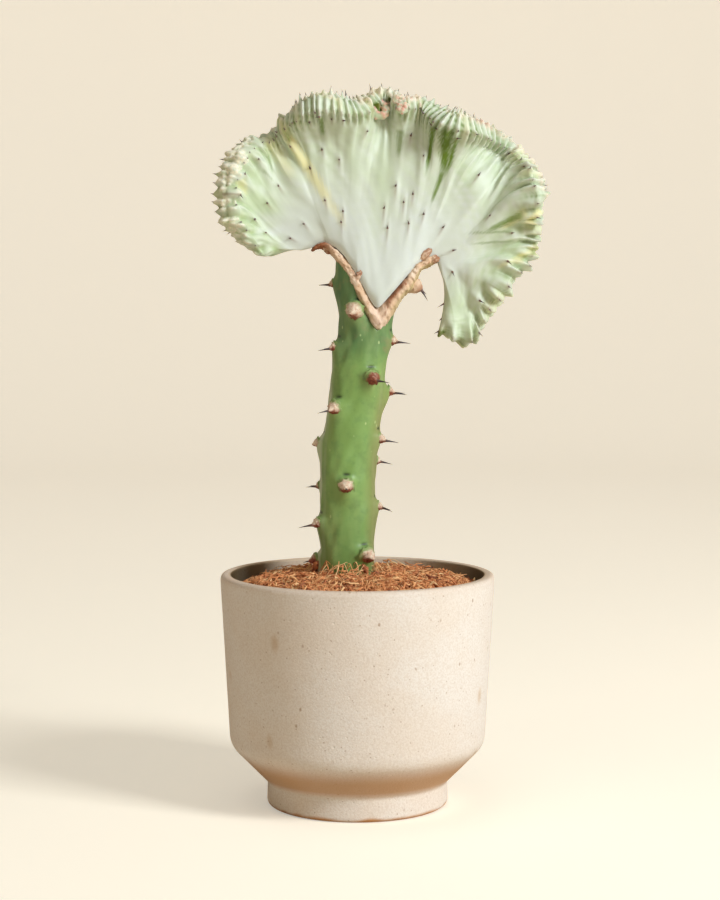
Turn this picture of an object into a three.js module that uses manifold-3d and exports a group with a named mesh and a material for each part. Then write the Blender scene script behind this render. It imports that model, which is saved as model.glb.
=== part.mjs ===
// Potted coral cactus: a crested scion grafted on a green rootstock, standing in coir in a stoneware pot.
// Millimetres, +Z up, the front of the crest towards -Y, the origin where the pot's axis meets the ground.
import * as THREE from "three";
import { mergeVertices } from "three/addons/utils/BufferGeometryUtils.js";
import Module from "manifold-3d";

const wasm = await Module();
wasm.setup();

// Clearance left between pieces that touch
const gap = 0.3;

// Pot
const potHeight = 110;
const rimRadius = 65;
const wallThickness = 5.4;
const shoulderRadius = 60.5;
const shoulderHeight = 29.5;
const footRadius = 43;
const footHeight = 11.2;
const footBevel = 1.4;
const shoulderRound = 1.4;
const potFloor = 9;
const potSides = 56;

// Fill and top layer
const mixTop = 92;
const coirAtWall = 101.5;
const coirRise = 8.6;
const coirDomePower = 3.4;
const coirRelief = 0.8;
const coirSides = 30;
const coirRings = 6;
const coirFibres = 34;

// Rootstock: height, then the middle's x, the half width and the half depth
const stockStations = [
  [58, -4.8, 4.5, 4.5],
  [62, -4.8, 9.5, 9.5],
  [72, -4.8, 11.8, 11.8],
  [111, -4.8, 12.4, 12.4],
  [132, -4.9, 12.8, 12.7],
  [151, -4.8, 12.9, 12.8],
  [169, -4.2, 12.7, 12.7],
  [183, -1.8, 12.9, 12.8],
  [192, -0.4, 12.9, 12.8],
  [202, 0.2, 12.6, 12.6],
  [213, 1.6, 12.1, 12.2],
  [223, 3.3, 12.1, 12.2],
  [234, 4.6, 13.3, 12.4],
  [241, 6.0, 15.4, 12.4],
  [250, 7.6, 17.6, 12.2],
  [262, 8.6, 18.8, 11.8],
];
const stockSides = 22;
const stockRingPitch = 7.2;

// Spiral rows of tubercles, bottom to top: each one's height, and its angle from the front towards +X
const tubercleRows = [
  [[120, 39], [153, -2], [189, -40], [217, -68], [246.5, -95]],
  [[142, 80], [174, 72], [203, 27], [234.5, -22]],
  [[163, 112], [196, 95], [220, 76]],
  [[134.5, -66], [172, -84], [207, -125], [236, -160]],
  [[117, -84], [151, -122], [184, -160], [214, 165]],
];
const tubercleRadius = 3.7;
const tubercleHeight = 3;
const tubercleSides = 6;
const stockSpineLength = 5.2;
const stockSpineRadius = 0.55;

// Side view of the graft, x and z: the stock's V-cut, left to right
const stockCut = [
  [-12.2, 261.5],
  [-9.6, 256.1],
  [-2.6, 243],
  [4.9, 229],
  [8.4, 224.3],
  [15.2, 229.9],
  [21.3, 240.7],
  [27, 247],
];
// The scar tissue's outer line from the arch to the right tip, then its inner line back
const callusOuter = [
  [-21.8, 260.4],
  [-18.2, 262.2],
  [-13.4, 261.4],
  ...stockCut.slice(1, 7),
  [27, 243.4],
  [33.2, 254],
  [35.4, 259],
];
const callusInner = [
  [33, 262],
  [25.5, 253.3],
  [17.6, 244.9],
  [8.4, 234.6],
  [0.2, 250.5],
  [-5.8, 259.3],
  [-10.1, 264],
  [-14.7, 265.6],
  [-18.5, 264.7],
  [-22, 262.4],
];
// How far the scar tissue reaches front and back: height, middle x, half width and half depth
const callusStations = [
  [218, 3.2, 13, 12.9],
  [230, 5.5, 14.6, 13.3],
  [241, 7.5, 19, 13.2],
  [252, 8, 34, 12.2],
  [268, 7, 44, 10.6],
];
const callusTubercle = { x: 27.6, z: 244.8, angle: 64, spineLength: 4.6 };

// Crest: its growing edge from the left lobe over the top to the hanging right lobe.
// x and z of the edge band's middle, how far it stands forward, its lean forward in degrees, and
// the way its ribs grow in degrees from +X
const edgeStations = [
  [-40, 260, 0, 5, 182],
  [-47.5, 262.5, 5, 30, 196],
  [-54, 269, 11, 52, 195],
  [-59, 278, 15, 62, 185],
  [-60, 288, 16, 66, 178],
  [-58, 298, 14, 62, 165],
  [-53.5, 306, 8, 50, 145],
  [-47, 310.5, 0, 40, 120],
  [-41, 313, -7, 25, 112],
  [-36, 317, -6, 25, 115],
  [-31.5, 321, 4, 45, 120],
  [-25, 326, 12, 58, 110],
  [-17, 328.5, 15, 60, 100],
  [-8, 327.5, 15, 60, 96],
  [0, 326.5, 10, 55, 92],
  [5.5, 328.5, 1, 42, 90],
  [10.5, 332.5, -6.5, 30, 90],
  [15.5, 332.5, -3, 42, 88],
  [20, 328, 6, 58, 86],
  [25, 328.5, 4, 42, 84],
  [30, 328.5, -2, 28, 82],
  [36.5, 324, 5, 48, 78],
  [42.5, 321, 13, 60, 72],
  [50, 319, 10, 55, 66],
  [58, 316.5, -1, 40, 58],
  [66.5, 312.5, -8, 32, 48],
  [75, 306, -8, 30, 38],
  [80.5, 298.5, 0, 30, 24],
  [82.5, 290, 7, 25, 10],
  [83, 282, 8, 8, 0],
  [82.5, 274.5, 0, 0, -8],
  [82, 266.5, -7, -8, -14],
  [78.5, 258.5, -4, -8, -22],
  [72.5, 251, 4, -5, -30],
  [67, 243, 6, 0, -38],
  [62, 235, -1, 5, -48],
  [57, 227.5, -7, 5, -60],
  [52.5, 222.5, -2, 0, -78],
  [45.5, 222, 3, 0, -92],
  [38.5, 225.5, 2, 0, -104],
];
// Crest: the line its ribs rise from, with the half thickness there: a free margin on the left, the wedge
// between the arms of the scar tissue, and the free margin under the right tip
const rootLine = [
  [-26.5, 261.6, 3],
  [-22, 263.2, 3.5],
  [-15, 266.4, 4.5],
  [-9.8, 264.8, 6.5],
  [-5.4, 260.2, 8],
  [0.7, 251.6, 10],
  [8.4, 236, 11.6],
  [17.4, 245.9, 10.6],
  [25.2, 254.3, 8.5],
  [33, 263.2, 6],
  [37, 260, 5],
  [38.6, 255, 4.5],
  [39.8, 249, 4],
];
// Where on that line the columns start, at each tenth of the growing edge
const rootStarts = [0, 1, 2, 3.2, 5.2, 7.4, 8.5, 9.3, 10.1, 11, 12];
const crestColumns = 214;
const crestSteps = [0, 0.2, 0.4, 0.58, 0.73, 0.85, 0.94, 1];
const midHalfThickness = 4.4;
const edgeHalfThickness = 5.4;
const whorlHalfThickness = 3.5;
const whorlPlace = 0.45;
const whorlSpread = 0.06;
const ribHeight = 1.1;
const crimpHeight = 0.75;
const toothHeight = 1.7;
const capRise = 2.6;
const capRidge = 0.6;
const crimpsPerRib = 3;
const rootReach = 1.0;
const edgeReach = 0.75;
const foldStart = 0.8;
const normalPasses = 20;
const edgeSpineLength = 3.4;
const faceSpineLength = 2.6;
const crestSpineRadius = 0.6;

const seed = 7;

// Seeded draws between 0 and 1
function makeDraw(start) {
  let state = start;
  return () => {
    state = (state + 0x6d2b79f5) | 0;
    let t = Math.imul(state ^ (state >>> 15), 1 | state);
    t = (t + Math.imul(t ^ (t >>> 7), 61 | t)) ^ t;
    return ((t ^ (t >>> 14)) >>> 0) / 4294967296;
  };
}

// A closed mesh as a solid that can be joined and cut
function toSolid(geometry) {
  const bare = geometry.clone();
  bare.deleteAttribute("normal");
  bare.deleteAttribute("uv");
  const merged = mergeVertices(bare, 1e-4);
  return new wasm.Manifold(
    new wasm.Mesh({
      numProp: 3,
      vertProperties: merged.attributes.position.array,
      triVerts: new Uint32Array(merged.index.array),
    }),
  );
}

function toGeometry(solid) {
  const mesh = solid.getMesh();
  const geometry = new THREE.BufferGeometry();
  geometry.setAttribute("position", new THREE.BufferAttribute(new Float32Array(mesh.vertProperties), 3));
  geometry.setIndex(new THREE.BufferAttribute(new Uint32Array(mesh.triVerts), 1));
  geometry.computeVertexNormals();
  return geometry;
}

function indexedSolid(points, faces) {
  const geometry = new THREE.BufferGeometry();
  geometry.setAttribute("position", new THREE.Float32BufferAttribute(points.flatMap((p) => [p.x, p.y, p.z]), 3));
  geometry.setIndex(faces.flat());
  return toSolid(geometry);
}

// A skin over a stack of rings that turn anticlockwise seen from the last one. A ring of one point is an apex.
function loft(rings) {
  const points = [];
  const starts = [];
  const faces = [];
  for (const ring of rings) {
    starts.push(points.length);
    points.push(...ring);
  }
  for (let i = 0; i + 1 < rings.length; i++) {
    const sides = Math.max(rings[i].length, rings[i + 1].length);
    for (let k = 0; k < sides; k++) {
      const next = (k + 1) % sides;
      const low = rings[i].length > 1 ? [starts[i] + k, starts[i] + next] : [starts[i], starts[i]];
      const high = rings[i + 1].length > 1 ? [starts[i + 1] + k, starts[i + 1] + next] : [starts[i + 1], starts[i + 1]];
      if (low[0] !== low[1]) faces.push([low[0], low[1], high[1]]);
      if (high[0] !== high[1]) faces.push([low[0], high[1], high[0]]);
    }
  }
  const last = rings.length - 1;
  for (let k = 1; k + 1 < rings[0].length; k++) faces.push([starts[0], starts[0] + k + 1, starts[0] + k]);
  for (let k = 1; k + 1 < rings[last].length; k++) faces.push([starts[last], starts[last] + k, starts[last] + k + 1]);
  return indexedSolid(points, faces);
}

// A ring of points round an axis, anticlockwise seen from the axis's far end
function ringAround(centre, axis, radius, sides) {
  const aside = Math.abs(axis.z) < 0.9 ? new THREE.Vector3(0, 0, 1) : new THREE.Vector3(1, 0, 0);
  const u = new THREE.Vector3().crossVectors(aside, axis).normalize();
  const v = new THREE.Vector3().crossVectors(axis, u);
  return Array.from({ length: sides }, (_, k) => {
    const turn = (2 * Math.PI * k) / sides;
    return centre
      .clone()
      .addScaledVector(u, radius * Math.cos(turn))
      .addScaledVector(v, radius * Math.sin(turn));
  });
}

// A three-sided spine whose root is sunk into what it grows from
function spine(foot, direction, length, radius) {
  const sunk = foot.clone().addScaledVector(direction, -1.5 * radius);
  return loft([ringAround(sunk, direction, radius, 3), [foot.clone().addScaledVector(direction, length)]]);
}

// A level elliptical ring
function levelRing(x, z, halfWidth, halfDepth, sides) {
  return Array.from({ length: sides }, (_, k) => {
    const turn = (2 * Math.PI * k) / sides;
    return new THREE.Vector3(x + halfWidth * Math.cos(turn), halfDepth * Math.sin(turn), z);
  });
}

// The stations of a stem or sleeve, blended smoothly by height
function stationAt(stations, z) {
  const last = stations.length - 1;
  let i = 0;
  while (i < last - 1 && z > stations[i + 1][0]) i++;
  const before = stations[Math.max(i - 1, 0)];
  const low = stations[i];
  const high = stations[i + 1];
  const after = stations[Math.min(i + 2, last)];
  const t = (z - low[0]) / (high[0] - low[0]);
  return [1, 2, 3].map((column) => {
    const rise = high[0] - low[0];
    const slopeLow = ((high[column] - before[column]) / (high[0] - before[0] || 1)) * rise;
    const slopeHigh = ((after[column] - low[column]) / (after[0] - low[0] || 1)) * rise;
    const square = t * t;
    const cube = square * t;
    return (
      (2 * cube - 3 * square + 1) * low[column] +
      (cube - 2 * square + t) * slopeLow +
      (3 * square - 2 * cube) * high[column] +
      (cube - square) * slopeHigh
    );
  });
}

// Each point of an outline moved sideways by a distance, to the left of its direction of travel
function shiftLine(line, distance) {
  return line.map((point, i) => {
    const before = line[Math.max(i - 1, 0)];
    const after = line[Math.min(i + 1, line.length - 1)];
    const a = new THREE.Vector2(point[0] - before[0], point[1] - before[1]).normalize();
    const b = new THREE.Vector2(after[0] - point[0], after[1] - point[1]).normalize();
    const along = a.add(b).normalize();
    const edge = b.lengthSq() > 0 ? b : along;
    const mitre = Math.max(Math.abs(along.dot(edge)), 0.5);
    return [point[0] - (along.y * distance) / mitre, point[1] + (along.x * distance) / mitre];
  });
}

// A plate cut to an outline of x and z, reaching the same way to the front and the back
function plate(outline, reach) {
  const shape = new THREE.Shape(outline.map(([x, z]) => new THREE.Vector2(x, z)));
  const geometry = new THREE.ExtrudeGeometry(shape, { depth: 2 * reach, bevelEnabled: false });
  geometry.rotateX(Math.PI / 2);
  geometry.translate(0, reach, 0);
  return toSolid(geometry);
}

function cylinder(x, radius, low, high, sides) {
  return loft([levelRing(x, low, radius, radius, sides), levelRing(x, high, radius, radius, sides)]);
}

function lathe(profile, sides) {
  const geometry = new THREE.LatheGeometry(
    profile.map(([r, z]) => new THREE.Vector2(r, z)),
    sides,
  );
  geometry.rotateX(Math.PI / 2);
  return toSolid(geometry);
}

// Points of an arc, from one angle to another in degrees
function arc(r, z, radius, from, to, steps) {
  return Array.from({ length: steps + 1 }, (_, k) => {
    const turn = THREE.MathUtils.degToRad(from + ((to - from) * k) / steps);
    return [r + radius * Math.cos(turn), z + radius * Math.sin(turn)];
  });
}

// The pot's wall leans out evenly from the shoulder to the rim
function outerRadius(z) {
  return THREE.MathUtils.mapLinear(z, shoulderHeight, potHeight, shoulderRadius, rimRadius);
}

function innerRadius(z) {
  return outerRadius(z) - wallThickness;
}

function makePot() {
  const lip = wallThickness / 2;
  const lipMiddle = rimRadius - lip;
  const profile = [
    [0, 0],
    [footRadius - footBevel, 0],
    [footRadius, footBevel],
    [footRadius, footHeight],
    ...arc(shoulderRadius - shoulderRound, shoulderHeight + 0.4, shoulderRound, -45, 0, 2),
    ...arc(lipMiddle, potHeight - lip, lip, 0, 180, 6),
    [innerRadius(shoulderHeight + 6), shoulderHeight + 6],
    [footRadius - 1, potFloor + 5],
    [footRadius - 5, potFloor],
    [0, potFloor],
  ];
  return lathe(profile, potSides);
}

function stemHole(low, high) {
  const [x, halfWidth] = stationAt(stockStations, 111);
  return cylinder(x, halfWidth + 0.7, low, high, stockSides);
}

function makePottingMix() {
  const low = stockStations[0][0] - 1;
  const profile = [
    [0, potFloor + gap],
    [footRadius - 5 - gap, potFloor + gap],
    [footRadius - 1.4 - gap, potFloor + 5],
    [innerRadius(shoulderHeight + 6) - 2 * gap, shoulderHeight + 6],
    [innerRadius(mixTop) - 2 * gap, mixTop],
    [0, mixTop],
  ];
  return lathe(profile, coirSides).subtract(stemHole(low, mixTop + 5));
}

function coirHeight(radius) {
  const reach = innerRadius(coirAtWall);
  return coirAtWall + coirRise * (1 - Math.pow(Math.min(radius / reach, 1), coirDomePower));
}

// One shred of coir: a short bent three-sided bar lying half sunk on the mound
function coirShred(draw) {
  const radius = 15 + 39 * Math.sqrt(draw());
  const place = 2 * Math.PI * draw();
  const heading = 2 * Math.PI * draw();
  const half = 4 + 5 * draw();
  const bend = 0.5 * (draw() - 0.5);
  const lift = 1.2 * draw();
  const [stemX] = stationAt(stockStations, 111);
  const middle = new THREE.Vector3(stemX * 0.5 + radius * Math.cos(place), radius * Math.sin(place), 0);
  const rings = [-1, 0, 1].map((t) => {
    const along = new THREE.Vector3(Math.cos(heading + bend * t), Math.sin(heading + bend * t), 0);
    const centre = middle.clone().addScaledVector(along, half * t);
    centre.z = coirHeight(Math.hypot(centre.x, centre.y)) + 0.35 + lift * t * t;
    return ringAround(centre, along, 0.95, 3);
  });
  return loft(rings);
}

function makeCoirMulch(draw) {
  const reach = innerRadius(coirAtWall) - 2 * gap;
  const low = mixTop + gap;
  const rings = [];
  rings.push(levelRing(0, low, innerRadius(low) - 2 * gap, innerRadius(low) - 2 * gap, coirSides));
  for (let i = 0; i < coirRings; i++) {
    const radius = reach * (1 - i / coirRings);
    const ring = levelRing(0, coirHeight(radius), radius, radius, coirSides);
    if (i > 0) for (const point of ring) point.z += coirRelief * (2 * draw() - 1);
    rings.push(ring);
  }
  rings.push([new THREE.Vector3(0, 0, coirHeight(0))]);
  const shreds = Array.from({ length: coirFibres }, () => coirShred(draw));
  const mound = wasm.Manifold.union([loft(rings), ...shreds]);
  const bounds = cylinder(0, reach - 0.2, low, potHeight + 20, coirSides * 2);
  return largest(mound.intersect(bounds).subtract(stemHole(low - 5, potHeight + 20)));
}

// The biggest body of a solid, with any loose scraps and sealed hollows dropped
function largest(solid) {
  const bodies = solid.decompose();
  return bodies.reduce((a, b) => (b.volume() > a.volume() ? b : a));
}

// A conical bump with two spines that spread sideways from its tip
function tubercle(foot, outward, spineLength) {
  const droop = new THREE.Vector3(0, 0, -0.22);
  const axis = outward.clone().add(droop).normalize();
  const at = (distance) => foot.clone().addScaledVector(axis, distance);
  const bump = loft([
    ringAround(at(-2.5), axis, tubercleRadius * 1.05, tubercleSides),
    ringAround(at(0.4 * tubercleHeight), axis, tubercleRadius * 0.78, tubercleSides),
    ringAround(at(tubercleHeight), axis, tubercleRadius * 0.34, tubercleSides),
  ]);
  const side = new THREE.Vector3(0, 0, 1).cross(outward).normalize();
  const spines = [-1, 1].map((hand) => {
    const way = outward.clone().addScaledVector(side, 0.62 * hand).addScaledVector(droop, 1).normalize();
    return spine(at(tubercleHeight * 0.8), way, spineLength, stockSpineRadius);
  });
  return wasm.Manifold.union([bump, ...spines]);
}

// A place on the stem's skin and the way out of it, by height and angle from the front
function stockSkin(z, degrees) {
  const [x, halfWidth, halfDepth] = stationAt(stockStations, z);
  const turn = THREE.MathUtils.degToRad(degrees);
  const outward = new THREE.Vector3(Math.sin(turn), -Math.cos(turn), 0);
  const foot = new THREE.Vector3(x + halfWidth * outward.x, halfDepth * outward.y, z);
  return [foot, outward];
}

function makeRootstock() {
  const low = stockStations[0][0];
  const high = stockStations[stockStations.length - 1][0];
  const count = Math.round((high - low) / stockRingPitch);
  const rings = Array.from({ length: count + 1 }, (_, i) => {
    const z = low + ((high - low) * i) / count;
    const [x, halfWidth, halfDepth] = stationAt(stockStations, z);
    return levelRing(x, z, halfWidth, halfDepth, stockSides);
  });
  const bumps = [];
  for (const [z, degrees] of tubercleRows.flat()) {
    const [foot, outward] = stockSkin(z, degrees);
    bumps.push(tubercle(foot, outward, stockSpineLength));
  }
  const above = [...stockCut, [90, 320], [-60, 320]];
  const cut = plate(above, 60);
  return largest(wasm.Manifold.union([loft(rings), ...bumps]).subtract(cut));
}

function makeCallus() {
  const outline = [...shiftLine(callusOuter, gap), ...callusInner];
  const low = callusStations[0][0];
  const high = callusStations[callusStations.length - 1][0];
  const rings = Array.from({ length: 13 }, (_, i) => {
    const z = low + ((high - low) * i) / 12;
    const [x, halfWidth, halfDepth] = stationAt(callusStations, z);
    return levelRing(x, z, halfWidth, halfDepth, 40);
  });
  const scar = plate(outline, 30).intersect(loft(rings));
  const turn = THREE.MathUtils.degToRad(callusTubercle.angle);
  const outward = new THREE.Vector3(Math.sin(turn), -Math.cos(turn), -0.35).normalize();
  const bump = tubercle(new THREE.Vector3(callusTubercle.x, -3, callusTubercle.z), outward, callusTubercle.spineLength);
  return largest(scar.add(bump));
}

// Value of a list of rows at a place from 0 to 1, by a smooth curve through the rows
function smoothRow(rows, place) {
  const last = rows.length - 1;
  const scaled = Math.min(Math.max(place, 0), 1) * last;
  const i = Math.min(Math.floor(scaled), last - 1);
  const t = scaled - i;
  return rows[0].map((_, column) => {
    const b = rows[i][column];
    const c = rows[i + 1][column];
    const a = i > 0 ? rows[i - 1][column] : 2 * b - c;
    const d = i + 2 <= last ? rows[i + 2][column] : 2 * c - b;
    return b + 0.5 * t * (c - a + t * (2 * a - 5 * b + 4 * c - d + t * (3 * (b - c) + d - a)));
  });
}

// Places along a list of rows that split its length evenly, measured on the first three columns
function evenPlaces(rows, count) {
  const fine = 1200;
  const lengths = [0];
  let before = smoothRow(rows, 0);
  for (let k = 1; k <= fine; k++) {
    const now = smoothRow(rows, k / fine);
    lengths.push(lengths[k - 1] + Math.hypot(now[0] - before[0], now[1] - before[1], now[2] - before[2]));
    before = now;
  }
  let k = 0;
  return Array.from({ length: count }, (_, i) => {
    const wanted = (lengths[fine] * i) / (count - 1);
    while (k < fine - 1 && lengths[k + 1] < wanted) k++;
    return (k + (wanted - lengths[k]) / (lengths[k + 1] - lengths[k])) / fine;
  });
}

// Value of a list of rows at a place from 0 to 1, by straight lines between the rows
function straightRow(rows, place) {
  const scaled = Math.min(Math.max(place, 0), 1) * (rows.length - 1);
  const i = Math.min(Math.floor(scaled), rows.length - 2);
  return rows[0].map((_, column) => THREE.MathUtils.lerp(rows[i][column], rows[i + 1][column], scaled - i));
}

// Start of a column on the root line and the half thickness there
function rootOf(place) {
  const [start] = straightRow(rootStarts.map((value) => [value]), place);
  return straightRow(rootLine, start / (rootLine.length - 1));
}

// Middle of the crest's sheet: a curve for each column that leaves the root line and ends on the edge
// band, both with the direction of growth there, sampled at the steps
function crestMiddle(places) {
  return places.map((place) => {
    const [x, z, forward, lean, grow] = smoothRow(edgeStations, place);
    const [rootX, rootZ] = rootOf(place);
    const growTurn = THREE.MathUtils.degToRad(grow);
    const rootTurn = THREE.MathUtils.degToRad(90 + (grow - 90) * 0.85);
    const leanTurn = THREE.MathUtils.degToRad(lean);
    const root = new THREE.Vector3(rootX, 0, rootZ);
    const edge = new THREE.Vector3(x, -forward, z);
    const span = root.distanceTo(edge);
    const leave = new THREE.Vector3(Math.cos(rootTurn), 0, Math.sin(rootTurn)).multiplyScalar(rootReach * span);
    const arrive = new THREE.Vector3(
      Math.cos(growTurn) * Math.cos(leanTurn),
      -Math.sin(leanTurn),
      Math.sin(growTurn) * Math.cos(leanTurn),
    ).multiplyScalar(edgeReach * span);
    return crestSteps.map((r) => {
      const square = r * r;
      const cube = square * r;
      const point = new THREE.Vector3()
        .addScaledVector(root, 2 * cube - 3 * square + 1)
        .addScaledVector(leave, cube - 2 * square + r)
        .addScaledVector(edge, 3 * square - 2 * cube)
        .addScaledVector(arrive, cube - square);
      point.y *= smoothStep(0, foldStart, r);
      return point;
    });
  });
}

// Directions out of the sheet's front face, evened out along the edge so that folds stay open
function crestNormals(middle) {
  const columns = middle.length;
  let normals = middle.map((column, i) =>
    column.map((_, j) => {
      if (j === 0) return new THREE.Vector3(0, -1, 0);
      const across = middle[Math.min(i + 1, columns - 1)][j].clone().sub(middle[Math.max(i - 1, 0)][j]);
      const along = column[Math.min(j + 1, column.length - 1)].clone().sub(column[Math.max(j - 1, 0)]);
      return across.cross(along).normalize();
    }),
  );
  for (let pass = 0; pass < normalPasses; pass++) {
    normals = normals.map((column, i) =>
      column.map((normal, j) =>
        normal
          .clone()
          .multiplyScalar(2)
          .add(normals[Math.min(i + 1, columns - 1)][j])
          .add(normals[Math.max(i - 1, 0)][j])
          .normalize(),
      ),
    );
  }
  return normals;
}

function smoothStep(low, high, value) {
  const t = Math.min(Math.max((value - low) / (high - low), 0), 1);
  return t * t * (3 - 2 * t);
}

// Half the sheet's thickness at a place along the edge and a step from root to edge, relief included
function crestHalfThickness(place, r, relief) {
  const rootHalf = rootOf(place)[2];
  const whorl = Math.exp(-Math.pow((place - whorlPlace) / whorlSpread, 2));
  const edgeHalf = THREE.MathUtils.lerp(edgeHalfThickness, whorlHalfThickness, whorl);
  const toMiddle = smoothStep(0, 0.55, r);
  const toEdge = smoothStep(0.55, 0.95, r);
  const end = Math.min(place, 1 - place) * crestColumns;
  const margin = Math.sqrt(Math.min(1, (end + 0.25) / 4));
  const even = rootHalf * (1 - toMiddle) + midHalfThickness * (toMiddle - toEdge) + edgeHalf * toEdge;
  return margin * (even + relief);
}

// Ribs and crimps: how much thicker the sheet is on a ridge column than between two
function crestRelief(column, r) {
  const rib = Math.cos((Math.PI * column) / crimpsPerRib);
  const ridge = column % 2 === 0 ? 1 : -1;
  const ribFade = smoothStep(0.1, 0.6, r) * (1 - 0.6 * smoothStep(0.75, 1, r));
  return ribHeight * rib * ribFade + crimpHeight * ridge * smoothStep(0.6, 0.95, r);
}

function makeCrest(draw) {
  const places = evenPlaces(edgeStations, crestColumns);
  const middle = crestMiddle(places);
  const normals = crestNormals(middle);
  const last = crestSteps.length - 1;
  const points = [];
  const spines = [];
  places.forEach((place, i) => {
    const ridge = i % 2 === 0;
    const outward = middle[i][last].clone().sub(middle[i][last - 1]).normalize();
    const face = (hand) =>
      crestSteps.map((r, j) => {
        const half = crestHalfThickness(place, r, crestRelief(i, r));
        return middle[i][j].clone().addScaledVector(normals[i][j], hand * half);
      });
    const front = face(1);
    const back = face(-1);
    const inner = Math.min(place, 1 - place) * crestColumns > 3;
    const tooth = ridge && inner ? toothHeight : 0;
    for (const [side, hand] of [[front, 1], [back, -1]]) {
      const way = outward.clone().addScaledVector(normals[i][last], 0.7 * hand).normalize();
      side[last].addScaledVector(way, tooth);
      if (inner && ridge && i % 8 === (hand > 0 ? 0 : 4)) {
        spines.push(spine(side[last], way, edgeSpineLength * (0.7 + 0.5 * draw()), crestSpineRadius));
      }
      if (inner && i % 12 === (hand > 0 ? 0 : 6)) {
        const j = 2 + Math.floor(4 * draw());
        const lift = normals[i][j].clone().multiplyScalar(hand).addScaledVector(outward, 0.8).normalize();
        spines.push(spine(side[j], lift, faceSpineLength, crestSpineRadius));
      }
    }
    const rise = capRise + (ridge ? capRidge : -capRidge) * (inner ? 1 : 0);
    const cap = [0.45, -0.45].map((share) =>
      middle[i][last]
        .clone()
        .addScaledVector(normals[i][last], share * crestHalfThickness(place, 1, 0))
        .addScaledVector(outward, rise),
    );
    points.push(...front, ...cap, ...back.reverse());
  });
  const loop = 2 * crestSteps.length + 2;
  const faces = [];
  for (let i = 0; i + 1 < crestColumns; i++) {
    for (let k = 0; k < loop; k++) {
      const next = (k + 1) % loop;
      const [a, b] = [i * loop + k, (i + 1) * loop + k];
      const [c, d] = [(i + 1) * loop + next, i * loop + next];
      const onBack = k > last + 1;
      faces.push(...(onBack ? [[a, b, d], [b, c, d]] : [[a, b, c], [a, c, d]]));
    }
  }
  const far = (crestColumns - 1) * loop;
  for (let k = 0; k + 1 < loop / 2; k++) {
    const [a, b, c, d] = [k, k + 1, loop - 2 - k, loop - 1 - k];
    faces.push([a, b, c], [a, c, d]);
    faces.push([far + a, far + c, far + b], [far + a, far + d, far + c]);
  }
  const sheet = indexedSolid(points, faces);
  return largest(wasm.Manifold.union([sheet, ...spines]));
}

function piece(name, solid, colour, roughness) {
  const material = new THREE.MeshStandardMaterial({ color: colour, roughness, metalness: 0 });
  const mesh = new THREE.Mesh(toGeometry(solid), material);
  mesh.name = name;
  return mesh;
}

const draw = makeDraw(seed);
const group = new THREE.Group();
group.add(
  piece("pot", makePot(), 0xe4d6c4, 0.8),
  piece("potting_mix", makePottingMix(), 0x4a3424, 0.95),
  piece("coir_mulch", makeCoirMulch(draw), 0xb86c44, 0.95),
  piece("rootstock", makeRootstock(), 0x6a9a4e, 0.5),
  piece("graft_callus", makeCallus(), 0xd9b088, 0.75),
  piece("crest", makeCrest(draw), 0xcfd9b8, 0.5),
);

export default group;
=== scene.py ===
"""Potted coral cactus: a crested scion grafted on a green rootstock, in coir, in a stoneware pot.

Lengths in the tables are millimetres in the frame's axes, and meshes are written in metres. The plant's front
faces -Y. Every surface is a formula of two parameters, worked out on a grid.
"""

import bpy
import numpy as np
from bpy.props import FloatProperty, FloatVectorProperty, IntProperty, PointerProperty
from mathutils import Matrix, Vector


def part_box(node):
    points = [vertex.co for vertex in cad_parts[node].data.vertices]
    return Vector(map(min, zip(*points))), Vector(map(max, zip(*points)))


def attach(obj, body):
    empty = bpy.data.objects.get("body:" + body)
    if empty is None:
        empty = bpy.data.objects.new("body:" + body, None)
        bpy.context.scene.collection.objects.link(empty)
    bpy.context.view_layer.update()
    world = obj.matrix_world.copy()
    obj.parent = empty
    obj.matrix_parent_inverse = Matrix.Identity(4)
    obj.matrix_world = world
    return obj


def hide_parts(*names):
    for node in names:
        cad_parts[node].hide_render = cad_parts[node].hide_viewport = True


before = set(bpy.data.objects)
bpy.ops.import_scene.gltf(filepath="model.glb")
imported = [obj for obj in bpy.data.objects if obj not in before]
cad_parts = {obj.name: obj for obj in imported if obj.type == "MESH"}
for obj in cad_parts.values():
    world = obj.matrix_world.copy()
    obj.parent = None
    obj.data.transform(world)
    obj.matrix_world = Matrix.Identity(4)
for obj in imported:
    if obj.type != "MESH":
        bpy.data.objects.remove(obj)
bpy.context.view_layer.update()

bl_info = {
    "name": "Potted coral cactus",
    "version": (1, 0, 0),
    "blender": (4, 5, 0),
    "location": "3D View > Sidebar > Coral Cactus",
    "description": "Builds a grafted coral cactus in its pot round the packed frame",
    "category": "Object",
}

MM = 0.001
SEED = 11

# The photograph's frame in pixels, and the camera fitted to it: place, degrees down, lens and sensor
FRAME = (720, 900)
CAMERA_PLACE = np.array([1.2, -986.5, 242.2])
CAMERA_PITCH = 4.31
CAMERA_LENS, SENSOR = 84, 36
# Lamps: name, place and size in metres, watts, colour, target, width of the beam in degrees
LAMPS = [
    ("key", (1.25, -0.95, 1.0), 0.5, 29.7, (0.9, 0.96, 1.0), (0, 0, 0.16), 180),
    ("top", (-0.32, -0.3, 1.65), 0.9, 3.6, (1.0, 1.0, 0.97), (0, 0, 0.2), 180),
    ("crest_fill", (-0.9, -0.85, 0.7), 0.35, 0.026, (1.0, 1.0, 0.97), (-0.05, 0, 0.285), 14),
    ("wall_wash", (0, 0.9, 2.2), 1.6, 10, (1.0, 0.97, 0.95), (0, 3, 1.2), 180),
]
ROOM_COLOUR, ROOM_STRENGTH = (1.0, 0.81, 0.64, 1), 0.125

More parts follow.
